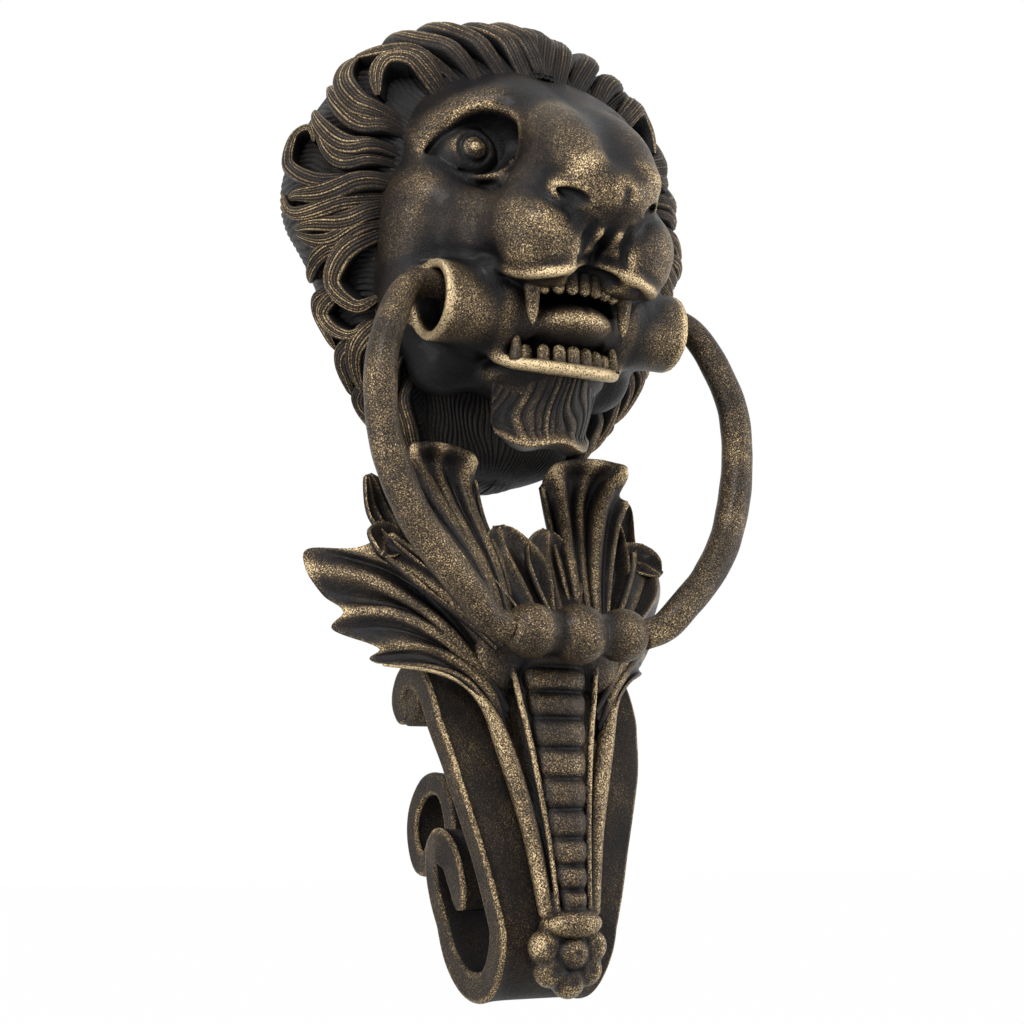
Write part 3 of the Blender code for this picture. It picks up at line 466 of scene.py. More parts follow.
def muzzle_clay(clay):
    clay.ball((0, -66, -4), (25, 20, 13), 6)
    clay.ball((15, -83, -2.4), (14.4, 13.4, 13.6), 4)
    clay.ball((20, -78, 3), (9.5, 9.5, 9.5), 6)
    clay.ball((9, -86, -4), (8.5, 8, 9.5), 4)
    clay.ball((13, -83.5, -9.5), (13, 9, 6.5), 4)
    clay.ball((14, -79, 14), (9, 10, 9), 7)
    clay.ball((27, -65, 3), (9, 9.5, 12), 8)
    clay.ball((13.5, -66, 29), (7, 7.5, 10), 8)
    clay.ball((0, -80, -2), (8, 7.5, 9), 4)
    # Nose with its wings and nostrils
    clay.ball((4, -93, 4), (7, 8, 7.5), 4, both=True)
    clay.ball((0, -97.5, 8.4), (13, 10, 8.2), 3)
    clay.ball((13.6, -91.5, 9.5), (5.2, 7, 5.2), 2.5)
    nostril = [(10.8, -102, 3.6, 0.7), (12, -100.8, 4.6, 1.7), (13.6, -98.5, 6, 1.9), (16.2, -95, 8.8, 0.7)]
    clay.rope(nostril, 1.8, carve=True)
    # Groove under the nose between its two ridges
    clay.rope([(3.2, -97, -3, 0.8), (3.4, -90, -4.5, 1.5), (3.8, -87, -9, 1.2)], 2.2)
    groove = [(0, -108, 7, 0.3), (0, -105, 0, 0.7), (0, -96, -4.4, 1), (0, -89, -5, 1.2)]
    clay.rope([*groove, (0, -86.5, -10, 1)], 2.4, carve=True)
    clay.rope([(6.2, -99, -1.5, 0.4), (6.8, -94.5, -5, 0.8), (7.4, -92.5, -11, 0.6)], 2.4, carve=True)


EYE = (25, -51.8, 29.4)
EYE_RADIUS = 11.6
IRIS = (26.4, 30.2)  # x and z of its middle
IRIS_RADIUS = 4.7


def on_eye(x, z):
    """The point of the eyeball's front at x and z."""
    return x, EYE[1] - math.sqrt(EYE_RADIUS**2 - (x - EYE[0]) ** 2 - (z - EYE[2]) ** 2), z


def eye_clay(clay):
    """The hollow under the brow, the eyeball with its iris, and the lower lid."""
    clay.ball((25.2, -66.5, 31), (11.6, 10.4, 10), 2, yaw=14, carve=True)
    clay.rope([(31, -63, 34, 3.2), (35, -57.5, 31.5, 2.2), (38.5, -52.5, 29, 0.6)], 2, carve=True)
    clay.rope([(13.5, -67.5, 31.5, 1.2), (15.5, -69, 26, 1), (19, -70, 20.5, 0.5)], 5, carve=True)
    clay.ball(EYE, (EYE_RADIUS,) * 3, 0.6)
    lid = [(14.5, -64.5, 27, 0.5), (19, -64.2, 22.8, 0.8), (26, -62.4, 20.8, 0.9)]
    lid += [(33, -58.2, 22.4, 0.8), (37, -53.5, 27, 0.5)]
    clay.rope(lid, 2.2)
    crease = [(16, -64.5, 26, 0.5), (20, -63.6, 23.6, 0.6), (26, -62, 22.2, 0.6), (32.5, -58.2, 23.8, 0.5)]
    clay.rope(crease, 0.7, carve=True)
    for turn in full_turn(40):
        x, z = IRIS[0] + IRIS_RADIUS * math.cos(turn), IRIS[1] + IRIS_RADIUS * math.sin(turn)
        clay.ball(on_eye(x, z), (0.55,) * 3, 1, carve=True)
    clay.ball(on_eye(*IRIS), (1.5, 0.7, 1.5), 0.9)


def mouth_clay(clay):
    clay.ball((0, -54, -38), (21, 20, 7.5), 5)
    clay.ball((0, -58, -44), (15, 11, 8), 5)
    clay.ball((25, -58, -20), (9, 13, 13), 6)
    clay.ball((27, -43, -32), (11, 13, 11), 6)
    clay.ball((0, -74, -25.2), (18.8, 28, 9.6), 1.6, carve=True)
    clay.ball((0, -92, -15.5), (9.5, 11.5, 8.4), 2, carve=True)
    # Tongue and gums
    clay.ball((0, -70, -25.2), (14.4, 15, 7), 1.5)
    clay.ball((0, -62, -29), (13, 12, 7.5), 1.5)
    clay.rope([(0, -86, -23.5, 0.4), (0, -80, -19.6, 0.6), (0, -64, -18, 0.7)], 1.6, carve=True)
    clay.rope([(16.5, -70, -14.6, 1.6), (12, -77, -14.2, 1.8), (0, -79.5, -13.4, 2.2)], 1.5)
    clay.rope([(17, -65, -36.4, 1.5), (11, -71, -37.4, 1.6), (0, -74, -37.8, 1.6)], 1.2)
    # Lips and the folds of the mouth's corners
    upper = [(0, -84.5, -7.6, 0.6), (6, -89, -10.6, 0.9), (12, -92, -14.2, 1.1), (15.5, -92, -15.6, 1.2)]
    upper += [(20, -88, -15.4, 1.2), (25, -80.5, -13.2, 1.2), (27.5, -73, -9.6, 1.2)]
    clay.rope(upper, 3)
    fold = [(26, -74, -11, 1.6), (25.5, -69, -20, 1.9), (23.5, -65.5, -30, 1.9), (20.5, -66, -35, 1.8)]
    clay.rope(fold, 3)
    clay.rope([(20.4, -67, -34, 1.2), (19.8, -70, -26, 1.4), (21.4, -75, -17.5, 1.3)], 1.8)
    lower = [(20.5, -64, -34, 1.5), (18, -69.5, -37.4, 1.9), (10, -75.6, -39.2, 2.1)]
    clay.rope([*lower, (0, -77.8, -39.8, 2.1)], 1.6)


def sockets_clay(clay):
    x, y, z = clay.grids()
    across = np.sqrt((y - AXIS_Y) ** 2 + (z - AXIS_Z) ** 2)
    ends = np.maximum(x - SOCKET_MOUTH, SOCKET_ROOT - x)
    clay.field(np.maximum(across - SOCKET_RADIUS, ends), 5.0)
    clay.field(np.maximum(across - SOCKET_BORE, SOCKET_FLOOR - x), 1.0, carve=True)


def back_clay(clay):
    """The casting behind the face: hollow, with a flat back and the tappings for the studs."""
    clay.ball((0, -3, 27), (59, 43, 52), 6)
    clay.ball((0, -2, -12), (38, 32, 40), 6)
    clay.ball((0, -14, -46), (22, 18, 20), 6)
    clay.ball((0, -40, 38), (40, 24, 28), 6)
    clay.ball((0, -34, 14), (44, 28, 34), 6)
    clay.ball((28, 0, 22), (21.5, 36, 37), 1.5, carve=True)
    clay.ball((21, 0, 8), (14.5, 26, 31), 4, carve=True)
    x, y, z = clay.grids()
    for height in STUD_HEIGHTS:
        hole = np.sqrt(x**2 + (z - height) ** 2) - STUD_HOLE_RADIUS
        clay.field(np.maximum(hole, -STUD_HOLE_DEPTH - y), 0.5, carve=True)
    clay.cut_behind(0)


def add_peg(pile, root, tip, wide, deep, sharp):
    """A tooth from root to tip; sharp is the share of its width left near the tip."""
    t = np.linspace(0, 1, 12)
    line = np.array(root) + (np.array(tip) - np.array(root)) * t[:, None]
    size = (1 - (1 - sharp) * t) * np.sqrt(1 - np.clip((t - 0.7) / 0.3, 0, 1) ** 2)
    turn = full_turn(14)
    ring = np.stack([wide * np.cos(turn), deep * np.sin(turn), 0 * turn], -1)
    verts = line[:, None] + size[:, None, None] * ring
    # Brass rising from root to tip: rubbed tips, and painted highlight on the teeth
    pile.add(verts, 0.34 + 0.4 * t[:, None], closed=True, flip=root[2] > tip[2])


def build_teeth():
    pile = Pile()
    places = np.arange(TEETH_IN_ROW) - (TEETH_IN_ROW - 1) / 2
    for x in 4.0 * places:
        y = -82.4 + (x / 12) ** 2 * 3.4
        add_peg(pile, (x, y, -11.5), (x, y - 0.3, -18.2), 2.1, 1.7, 0.92)
    for x in 4.5 * places:
        y = -76.2 + (x / 14) ** 2 * 5.4
        add_peg(pile, (x, y, -38.5), (x, y + 0.4, -31.6), 2.2, 1.7, 0.88)
    for side, _ in SIDES:
        add_peg(pile, (side * 16.2, -79.5, -12.5), (side * 15.6, -79, -28), 3, 2.6, 0.45)
        add_peg(pile, (side * 17, -71, -37), (side * 16.6, -71, -28.5), 2.3, 2.1, 0.45)
    pile.done("teeth", HEAD, HEAD_BRONZE)


def dull_brass_and_painted_shade(verts):
    """How much brass comes off the face: less brass on the barrels and above the brow, painted shade on the
    jaw under the barrels and over the eyes, and the tongue darkened.
    """
    x, y, z = np.abs(verts[:, 0]), verts[:, 1], verts[:, 2]
    barrel = ease(22, 26, x) * ease(-82, -78, y) * (1 - ease(-7, -3, z)) * (1 - 0.7 * ease(39.5, 41, x))
    # Painted shade on the jaw under the barrels
    jaw = ease(-58, -50, y) * (1 - ease(-30, -22, z))
    # Painted shade over the eyeball and the lower lid under it
    far = np.linalg.norm(np.stack([x, y, z], -1) - EYE, axis=1)
    eye = np.maximum(1 - ease(10.6, 12.0, far), (1 - ease(14.4, 16.4, far)) * (1 - ease(26, 31, z)))
    brow = ease(40, 44, z) * (1 - ease(58, 64, z)) * ease(4, 10, x)
    tongue = (1 - ease(14, 16, x)) * ease(-35, -33, z) * (1 - ease(-19, -17, z)) * ease(-89, -87, y)
    return 0.44 * barrel + 0.20 * jaw + 0.34 * eye + 0.14 * brow + 0.22 * tongue


def build_head():
    face = Clay((0, -114, -60), (58, -34, 70), 0.6)
    skull_clay(face)
    muzzle_clay(face)
    eye_clay(face)
    mouth_clay(face)
    sockets_clay(face)
    face.cut_behind(FACE_BACK_Y)
    # The face's brass is lowered on the barrels and brow, with painted shade on the jaw and over the eyes
    face.piece("lion_face", HEAD, HEAD_BRONZE, 0.25, 0.75, dull_brass_and_painted_shade)
    back = Clay((0, -66, -70), (64, 1.5, 82), 1.1)
    back_clay(back)
    back.piece("lion_back", HEAD, HEAD_BRONZE, 0.12, 0.2)
    build_teeth()


# Mane: a surface from the hair line to the edge, and locks drawn on it

MANE_EDGE_POINTS = (
    (0, -17, 84), (30, -16, 78), (50, -15, 65), (61, -14, 48), (67, -14, 29), (66, -14, 12),
    (59, -14, -4), (52, -14, -20), (43, -14, -37), (30, -15, -54), (10, -18, -66), (-2, -19, -68),
)
HAIR_LINE_POINTS = (
    (0, -58, 64), (24, -54, 59), (41, -48, 45), (47, -47, 24), (48, -44, 4), (45, -41, -14),
    (40, -36, -28), (30, -31, -42), (10, -32, -50), (-2, -33, -51),
)
MANE_EDGE, HAIR_LINE = even_line(MANE_EDGE_POINTS, 200), even_line(HAIR_LINE_POINTS, 200)

HEAD_MIDDLE = np.array([0, 0, 10.0])
MANE_SWELL = 6.0  # how far the mane rises between the hair line and its edge
ROOT_SINK = 3.2  # how deep a lock starts under the hair
HAIR_BACK_Y = -0.2  # where the hair stops, just in front of the door

# Each lock: half width, lift, and its line, in per cent from crown to chest and from hair line to edge
LOCKS = (
    (4.4, 3.2, ((0, -5), (2, 45), (0.5, 105))),
    (4.4, 3, ((3.5, -5), (6, 40), (6, 100))),
    (4.4, 3.4, ((8, -5), (12, 40), (11.5, 100))),
    (4.4, 3.4, ((13, -5), (17, 40), (17, 95))),
    (3.6, 3, ((16.5, 5), (21.5, 55), (22.5, 95))),
    (4.3, 4.5, ((21, -5), (21, 20), (24, 35), (29, 20))),
    (4.3, 3.5, ((30, 5), (31.5, 30), (28.5, 60), (22, 85))),
    (3.6, 2.5, ((31.5, 0), (34, 30), (28, 90))),
    (3.4, 3.5, ((35.5, 0), (38.5, 35), (33, 85))),
    (3.1, 2.8, ((37.5, 0), (40.5, 35), (34.5, 80))),
    (2.6, 4, ((40.5, 5), (44, 50), (42, 90), (37.5, 95), (36.5, 75), (38.5, 65))),
    (3.8, 3.5, ((41, -5), (45.5, 45), (46, 90))),
    (2.9, 4.2, ((44, -5), (47.5, 40), (48, 80), (45.5, 100))),
    (3.3, 3, ((46, -5), (49, 30), (50, 85))),
    (3.1, 2.6, ((47.5, -5), (51.5, 35), (51, 85))),
    (3.9, 4.2, ((49.5, -5), (53, 25), (58, 40), (62, 20), (61.5, 0))),
    (2.9, 2.4, ((52, 25), (54, 60), (58, 90))),
    (2.9, 3.6, ((57.5, 30), (62.5, 70), (66, 40), (66, 15))),
    (2.9, 2.4, ((58.5, 50), (62.5, 90), (68, 80))),
    (3.7, 3, ((65, 0), (68.5, 35), (75.5, 55))),
    (3.4, 2.6, ((66.5, 30), (71, 75), (75.5, 85))),
    (3.8, 2.4, ((67.5, -5), (71, 20), (77, 40))),
    (3.6, 2, ((73.5, 50), (78, 80), (83, 85))),
    (4, 2.4, ((70.5, -5), (76, 15), (84.5, 50))),
    (4, 2.2, ((76, -5), (82, 25), (88.5, 80))),
)


def mane_surface(share, out, lift):
    """Points of the mane, lift mm off its surface, and the surface's normals."""
    hair, edge = at_share(HAIR_LINE, share), at_share(MANE_EDGE, share)
    chord = edge - hair
    ahead = at_share(MANE_EDGE, share + 0.02) - at_share(MANE_EDGE, share - 0.02)
    normal = unit(np.cross(chord, ahead))
    outward = (hair + edge) / 2 - HEAD_MIDDLE
    normal = np.where((normal * outward).sum(-1, keepdims=True) < 0, -normal, normal)
    bulge = MANE_SWELL * 4 * out * (1 - out)
    return hair + chord * out[..., None] + normal * (bulge + lift)[..., None], normal


def ridges(phase):
    """Rounded strands with a sharp valley between, one for each whole number of phase."""
    return np.sqrt(np.abs(np.sin(np.pi * phase)))


def lock_spine(lift, path, rows):
    """Even points along a lock, the mane's normals there, and how far the points lie off the mane."""
    share, out = smooth_line(path, 24).T / 100
    way = np.linspace(0, 1, len(share))
    rise = (lift + ROOT_SINK) * ease(-0.05, 0.28, way) - ROOT_SINK - 0.8 * ease(0.8, 1, way)
    spine, normal = mane_surface(share, out, rise)
    every = even_line(np.column_stack([spine, normal, rise]), rows, smooth=False)
    return every[:, :3], unit(every[:, 3:6]), every[:, 6]


def lock_strands(t, u, strands, seed):
    """Height of the wavy strands of a lock, from 0 to 1, and how bold each strand is."""
    drift = 0.16 * np.sin(5.0 * t + seed) + 0.10 * np.sin(11.0 * t + 2.3 * seed)
    phase = strands * (u + 1) / 2 + drift * strands * 0.5 * (1 - u**2)
    return ridges(phase), 0.75 + 0.25 * np.sin(2.1 * np.floor(phase) + 3.0 * seed)


def add_lock(pile, half_width, lift, path, side, seed):
    """A lock of wavy strands on the mane, tapering to its tip and closed down to the hair."""
    rows, strands, under = 46, round(half_width * 1.9), 7
    spine, normal, rise = lock_spine(lift, path, rows)
    t = np.linspace(0, 1, rows)
    along = unit(np.gradient(spine, axis=0))
    across = unit(np.cross(along, normal))
    normal = unit(np.cross(across, along))
    wave = 0.35 * np.sin(9.0 * t + 1.9 * seed) * ease(0.1, 0.4, t)
    spine = spine + across * wave[:, None]
    swell = 0.72 + 0.28 * np.sin(np.pi * np.clip(t * 1.2, 0, 1))
    width = half_width * swell * np.sqrt(1 - 0.97 * t**5)
    u = np.linspace(-1, 1, strands * 5 + 1)[None]
    ridge, bold = lock_strands(t[:, None], u, strands, seed)
    crown = np.sqrt(1 - u**2)
    top_x = width[:, None] * u
    top_n = width[:, None] * 0.50 * crown
    top_n = top_n + 0.95 * bold * (ridge - 0.62) * crown**0.6 * np.sqrt(width / half_width)[:, None]
    low_u = np.linspace(1, -1, under)[1:-1][None]
    low_x = width[:, None] * low_u
    low_n = -np.maximum(0.75 * width, rise + 2.6)[:, None] * np.sqrt(1 - low_u**2)
    x, n = np.hstack([top_x, low_x]), np.hstack([top_n, low_n])
    verts = spine[:, None] + across[:, None] * x[..., None] + normal[:, None] * n[..., None]
    shine = 0.04 + 0.74 * bold * (np.clip(ridge - 0.35, 0, 1) / 0.65) ** 1.2 + 0.06 * crown
    shine = np.hstack([np.broadcast_to(shine, top_x.shape), np.zeros_like(low_x)])
    wear = shine * (0.5 + 0.5 * ease(0.02, 0.5, t))[:, None] + 0.04 * t[:, None]
    verts[..., 0] *= side
    pile.add(verts, wear, closed=True, flip=side > 0)


def add_hair_base(pile, side):
    """The close-lying hair under the locks, from the hair line over the edge to the flat back."""
    share = np.linspace(-0.01, 1.0, 520)[None]
    out = np.linspace(-0.10, 1.42, 36)[:, None]
    share, out = np.broadcast_arrays(share, out)
    sway = 0.7 * np.sin(5 * out + 22 * share) + 0.3 * np.sin(13 * out - 35 * share)
    strand = ridges(95 * share + sway) * (1 - ease(1.28, 1.42, out))
    verts, _ = mane_surface(share, out, -1.6 + strand)
    # The two halves meet on the middle plane, and turn in along the flat back
    verts[..., 0] = np.maximum(verts[..., 0], 0)
    verts[..., 1] = np.minimum(verts[..., 1], HAIR_BACK_Y)
    rim = verts[-1] * (1, 0, 1) + (0, HAIR_BACK_Y, 0)
    inside = (rim - HEAD_MIDDLE) * (0.94, 1, 0.84) + HEAD_MIDDLE
    verts = np.concatenate([verts, rim[None], inside[None]])
    verts[..., 0] *= side
    wear = (0.03 + 0.34 * strand**2) * (0.35 + 0.65 * ease(0.3, 0.9, out)) * (1 - ease(1.2, 1.42, out))
    pile.add(verts, np.concatenate([wear, 0 * wear[:2]]), flip=side < 0)


def build_mane():
    for side, word in SIDES:
        pile = Pile()
        add_hair_base(pile, side)
        for k, (half_width, lift, path) in enumerate(LOCKS):
            add_lock(pile, half_width, lift, path, side, seed=1.7 * k)
        pile.done("mane_" + word, HEAD, MANE_BRONZE)


def build_neck():
    """Straight hair of the neck under the jaw, between the two halves of the mane."""
    pile = Pile()
    a = np.linspace(-1, 1, 420)[None]
    v = np.linspace(0, 1, 60)[:, None]
    sway = 0.7 * np.sin(6 * v + 9 * a) + 0.35 * np.sin(15 * v - 21 * a)
    strand = ridges(34 * a + sway) * (1 - ease(0.86, 1, v))
    bottom = np.sqrt(1 - np.clip((v - 0.72) / 0.28, 0, 1) ** 2 * 0.98)
    reach = (1 - 0.28 * v**1.5) * (0.35 + 0.65 * bottom) * 40 + strand
    deep = (1 - 0.10 * v**2) * (0.15 + 0.85 * bottom) * 25 + strand
    x = reach * np.sin(a * np.pi / 2)
    y = -13 - deep * np.cos(a * np.pi / 2)
    z = -22 - 45 * v + 5 * a**2 * v
    verts = np.stack(np.broadcast_arrays(x, y, z), axis=-1)
    pile.add(verts, 0.02 + 0.26 * strand**2)
    pile.done("neck_hair", HEAD, MANE_BRONZE)


def build_beard():
    """The tuft under the lip: uneven wavy strands down to a scooped, turned-out rim."""
    pile = Pile()
    u = np.linspace(-1, 1, 190)[None]
    v = np.linspace(0, 1, 80)[:, None]
    flow = np.sin(np.pi * np.clip(v * 1.05, 0, 1))
    sway = np.sin(3.4 * v + 2.2 * u + 0.5) * flow + 0.5 * np.sin(7.0 * u + 2.5 * v) + 1.3 * u * (1 - v)
    strand = ridges(7.0 * u + sway)
    bold = 0.7 + 0.3 * np.sin(2.3 * np.floor(7.0 * u + sway))
    rim = ease(0.80, 0.93, v)
    under = ease(0.95, 1, v)
    x = u * (18.5 - 2 * v - under) + 0.8 * np.sin(5 * v) * (1 - u**2)
    scoop = 1.6 * np.cos(1.5 * np.pi * u)
    y = -73.5 + 6.0 * v + 14 * u**2 - 3.4 * rim + 9.0 * under * (1 - 0.9 * u**2)
    y = y - 1.3 * bold * (strand - 0.5) * (1 - rim)
    z = -39.0 - 22.5 * v - 1.8 * rim + under + (6 * u**2 + scoop) * v
    verts = np.stack(np.broadcast_arrays(x, y, z), axis=-1)
    wear = 0.05 + 0.42 * bold * strand**2 * (1 - rim) + 0.62 * rim * (1 - under)
    pile.add(verts, wear)
    pile.done("beard", HEAD, HEAD_BRONZE)


# Bail arms

ARM_LINE = (
    (33, -64, -16.6), (38, -64, -15.6), (44, -64.2, -15.4), (50.5, -65.6, -18.6),
    (56.6, -68.6, -29), (61.3, -72, -45), (60.6, -74, -65), (54.2, -77, -85), (45.5, -79, -98.5),
    (36, -79.5, -108.5), (30, -78, -114.8), (23, -77, -117.6),
)


def add_drum(pile, profile, side, middle=(AXIS_Y, AXIS_Z), wear=0.0):
    """A turned piece about a line along X, from points of (x, radius)."""
    turn = full_turn(48)
    x, r = np.array(profile, float).T
    y = middle[0] + r[:, None] * np.cos(turn)
    z = middle[1] + r[:, None] * np.sin(turn)
    verts = np.stack(np.broadcast_arrays(side * x[:, None], y, z), axis=-1)
    pile.add(verts, wear, closed=True, flip=side > 0)


def build_arms():
    for side, word in SIDES:
        pile = Pile()
        line = even_line(ARM_LINE, 150)
        share = np.linspace(0, 1, len(line))
        radii = np.interp(share, (0, 0.12, 0.3, 0.6, 0.85, 1), (4.1, 4.25, 4.7, 5.1, 4.8, 4.5))
        radii = radii * (1 + 0.012 * np.sin(37 * share) + 0.008 * np.sin(83 * share + 1))
        line[:, 0] *= side
        add_tube(pile, line, radii, sides=28)
        add_drum(pile, ((26.9, 0), (26.9, 7.6), (27.7, 8.8), (34, 8.8), (34.8, 7.8), (35.2, 0)), side)
        place = ("knocker", "bail_bronze", "bail_arm_" + word)
        pile.done("bail_" + word, place, BAIL_BRONZE, wear=(0.36, 0.10, 0.05))


# Acanthus drop

# Each single lobe: midrib, half width, facing, flutes, share of the width left at its root
LOBES = (
    (((4, -64, -116), (5, -55, -104), (7, -47, -92), (8.6, -45, -83)), 10, (0.1, -1, 0.15), 2, 0.5),
    (((16, -62, -120), (24, -51, -103), (33, -39, -87), (37, -36, -75)), 8.5, (-0.3, -1, 0.3), 2, 0.5),
    (((18, -60, -118), (28, -47, -100), (40, -31, -82), (46, -30, -68)), 9.5, (-0.35, -1, 0.35), 3, 0.4),
    (((18, -64, -122), (31, -54, -106), (43.5, -40, -91), (49, -47, -94.5)), 9, (-0.2, -1, 0.5), 2, 0.4),
)
# The broad lobes, as lines from root to margin: in turn a ridge and the bottom of a flute
SIDE_LEAF = (
    (
        (16.5, -62.5, -152), (21.3, -59.8, -139), (26.8, -56.8, -131.6),
        (35, -50.2, -127.6), (45.4, -38, -125.8),
    ),
    (
        (16.2, -61.8, -148.5), (21, -59, -136.4),
        (28, -54.4, -128.6), (37, -47.4, -124.4), (46.8, -36.2, -124),
    ),
    ((15.8, -62, -145), (20.6, -59.6, -134), (28.5, -54.6, -125.4), (36.2, -48.4, -121), (45.7, -40, -121)),
    (
        (15.6, -61.7, -143.4), (20.8, -59, -132.8),
        (31, -52, -121.4), (43, -41.8, -115.4), (56, -29.2, -115.4),
    ),
    ((15.4, -62, -142), (20.8, -59.6, -132.2), (31, -53, -119.4), (42, -43.6, -111.4), (54.1, -33, -110.2)),
    ((15.2, -61.6, -141), (20.9, -59, -131.6), (31, -52, -118), (41, -43, -109.2), (58.8, -28, -105.2)),
    (
        (15, -62, -140), (20.8, -60, -131), (30, -54, -117.2),
        (38.3, -46.4, -108), (50.7, -36.2, -99.8), (62.8, -24.4, -97),
    ),
    ((15, -61.4, -136), (22, -57.5, -124), (32, -50.5, -110), (44, -40, -98.5), (62.4, -24.6, -91)),
    ((15, -62, -131), (22.5, -58, -118), (32, -51, -105), (42, -42.5, -96.5), (51.5, -35.5, -91.6)),
    ((15.5, -61.5, -127), (23, -57, -113), (32, -50, -100), (45.5, -39, -88.6)),
    ((16, -61.8, -122), (24, -57, -108), (33, -50, -96.5), (42.2, -41.5, -87)),
)
UPPER_LEAF = (
    ((10, -62, -121), (9.5, -51.5, -98), (11, -41, -80), (11.5, -36.5, -68)),
    ((11, -61.6, -121), (11.5, -51, -98), (13.5, -40, -80), (13, -35.5, -65.5)),
    ((12, -63, -121), (13.5, -53, -98), (16.5, -42, -78), (17, -38, -67), (14.4, -40, -60.8)),
    ((13.5, -62.5, -121), (15.5, -52, -97), (20, -39.8, -76), (22, -37, -65), (20.8, -41.4, -59)),
    ((14.5, -63, -121), (17, -53, -98), (23, -40.4, -76), (26.6, -37.6, -64.5), (27.2, -43, -58.4)),
    ((15.5, -62.5, -121), (18.5, -52.4, -98), (25.6, -40, -76.5), (31, -38.6, -65), (33.4, -44, -59)),
    ((17, -63, -121), (20, -55.5, -99), (28, -44.5, -78), (33.8, -42, -67), (38.4, -45, -60.8)),
    ((18, -63, -120), (22.5, -55.6, -99), (31.5, -44.5, -80), (37, -41.5, -68.5)),
    ((19, -64, -119), (25, -57, -99), (34.5, -46.5, -81), (40, -43.5, -72)),
)
# Each broad lobe: its lines, the flutes' depth as a share of their width, and how far its middle bows
FANS = ((SIDE_LEAF, 0.42, np.array([1.3, -3.0, -0.4])), (UPPER_LEAF, 0.36, np.zeros(3)))
LOBE_THICKNESS = 2.2
BEADS_Y, BEADS_Z = -77, -118  # the line of the beads between the arms


def add_lobe(pile, midrib, half_width, facing, flutes, root, side):
    """One fluted, cupped lobe of the leaf, as a closed shell."""
    rows, columns, behind = 48, flutes * 12 + 1, 13
    line = even_line(midrib, rows)
    along, across, out = side_frames(line, np.array(facing, float))
    t = np.linspace(0, 1, rows)
    tip = np.sqrt(1 - 0.96 * np.clip((t - 0.5) / 0.5, 0, 1) ** 2.4)
    width = (half_width * ((root + (1 - root) * ease(0, 0.6, t)) * tip))[:, None]
    u = np.linspace(-1, 1, columns)[None]
    flute = np.abs(2 * np.mod(flutes * (u + 1) / 2, 1) - 1) ** 1.7
    depth = 0.62 * width / flutes * (1 - 0.5 * ease(0.6, 1, t))[:, None]
    front = 0.22 * width * u**2 + depth * (flute - 0.5) + LOBE_THICKNESS / 2 * (1 - 0.5 * u**6)
    low_u = np.linspace(1, -1, behind)[None]
    rear = 0.22 * width * low_u**2 - LOBE_THICKNESS / 2 * (1 - 0.5 * low_u**4)
    x, n = np.hstack([width * u, width * low_u]), np.hstack([front, rear])
    every = np.hstack([u, low_u])
    verts = line[:, None] + across[:, None] * x[..., None] + out[:, None] * n[..., None]
    rim = line[-1] + across[-1] * x[-1][:, None] + out[-1] * (0.22 * width[-1] * every[0] ** 2)[:, None]
    verts = np.concatenate([verts, (rim + along[-1] * 0.6)[None]])
    verts[..., 0] *= side
    shine = 0.16 + 0.40 * flute**1.5 + 0.10 * np.abs(u) ** 4 + 0.18 * ease(0.88, 1.0, t)[:, None]
    wear = np.hstack([shine, np.full((rows, behind), 0.16)])
    pile.add(verts, np.concatenate([wear, wear[-1:]]), closed=True, flip=side < 0)


def add_fan(pile, guides, deep, bow, side):
    """A broad lobe through lines from its root to its margin, with webs between, as a closed shell."""
    rows, between = 56, 10
    lines = np.stack([even_line(guide, rows) for guide in guides], axis=1)
    lines = lines + bow * np.sin(np.linspace(0, np.pi, rows))[:, None, None]
    sheet = np.stack([smooth_line(row, between) for row in lines])
    q = np.linspace(0, len(guides) - 1, sheet.shape[1])[None]
    t = np.linspace(0, 1, rows)[:, None]
    normal = unit(np.cross(np.gradient(sheet, axis=0), np.gradient(sheet, axis=1)))
    normal = np.where(normal[..., 1:2] > 0, -normal, normal)
    ridge = np.abs(np.cos(np.pi * q / 2)) ** 1.8
    gap = np.linalg.norm(np.gradient(sheet, axis=1), axis=-1) * between
    relief = np.minimum(deep * gap, 2.6) * (ridge - 0.5) * (1 - 0.75 * ease(0.78, 1.0, t))
    thick = LOBE_THICKNESS / 2 * np.minimum(1, 0.35 + 2.2 * np.minimum(q, q[..., ::-1]))
    front = sheet + normal * (relief + thick)[..., None]
    rear = sheet - normal * (thick - 0.3 * relief)[..., None]
    rim = sheet[-1:] + 0.6 * unit(sheet[-1:] - sheet[-2:-1]) + 0.5 * (normal * relief[..., None])[-1:]
    verts = np.concatenate([front, rear[:, ::-1]], axis=1)
    verts = np.concatenate([verts, np.concatenate([rim, rim[:, ::-1]], axis=1)])
    verts[..., 0] *= side
    shine = 0.15 + 0.46 * ridge**2.5 * ease(0.02, 0.25, t) + 0.30 * ease(0.93, 1, t)
    wear = np.concatenate([shine, np.full(shine.shape, 0.16)], axis=1)
    pile.add(verts, np.concatenate([wear, wear[-1:]]), closed=True, flip=side > 0)


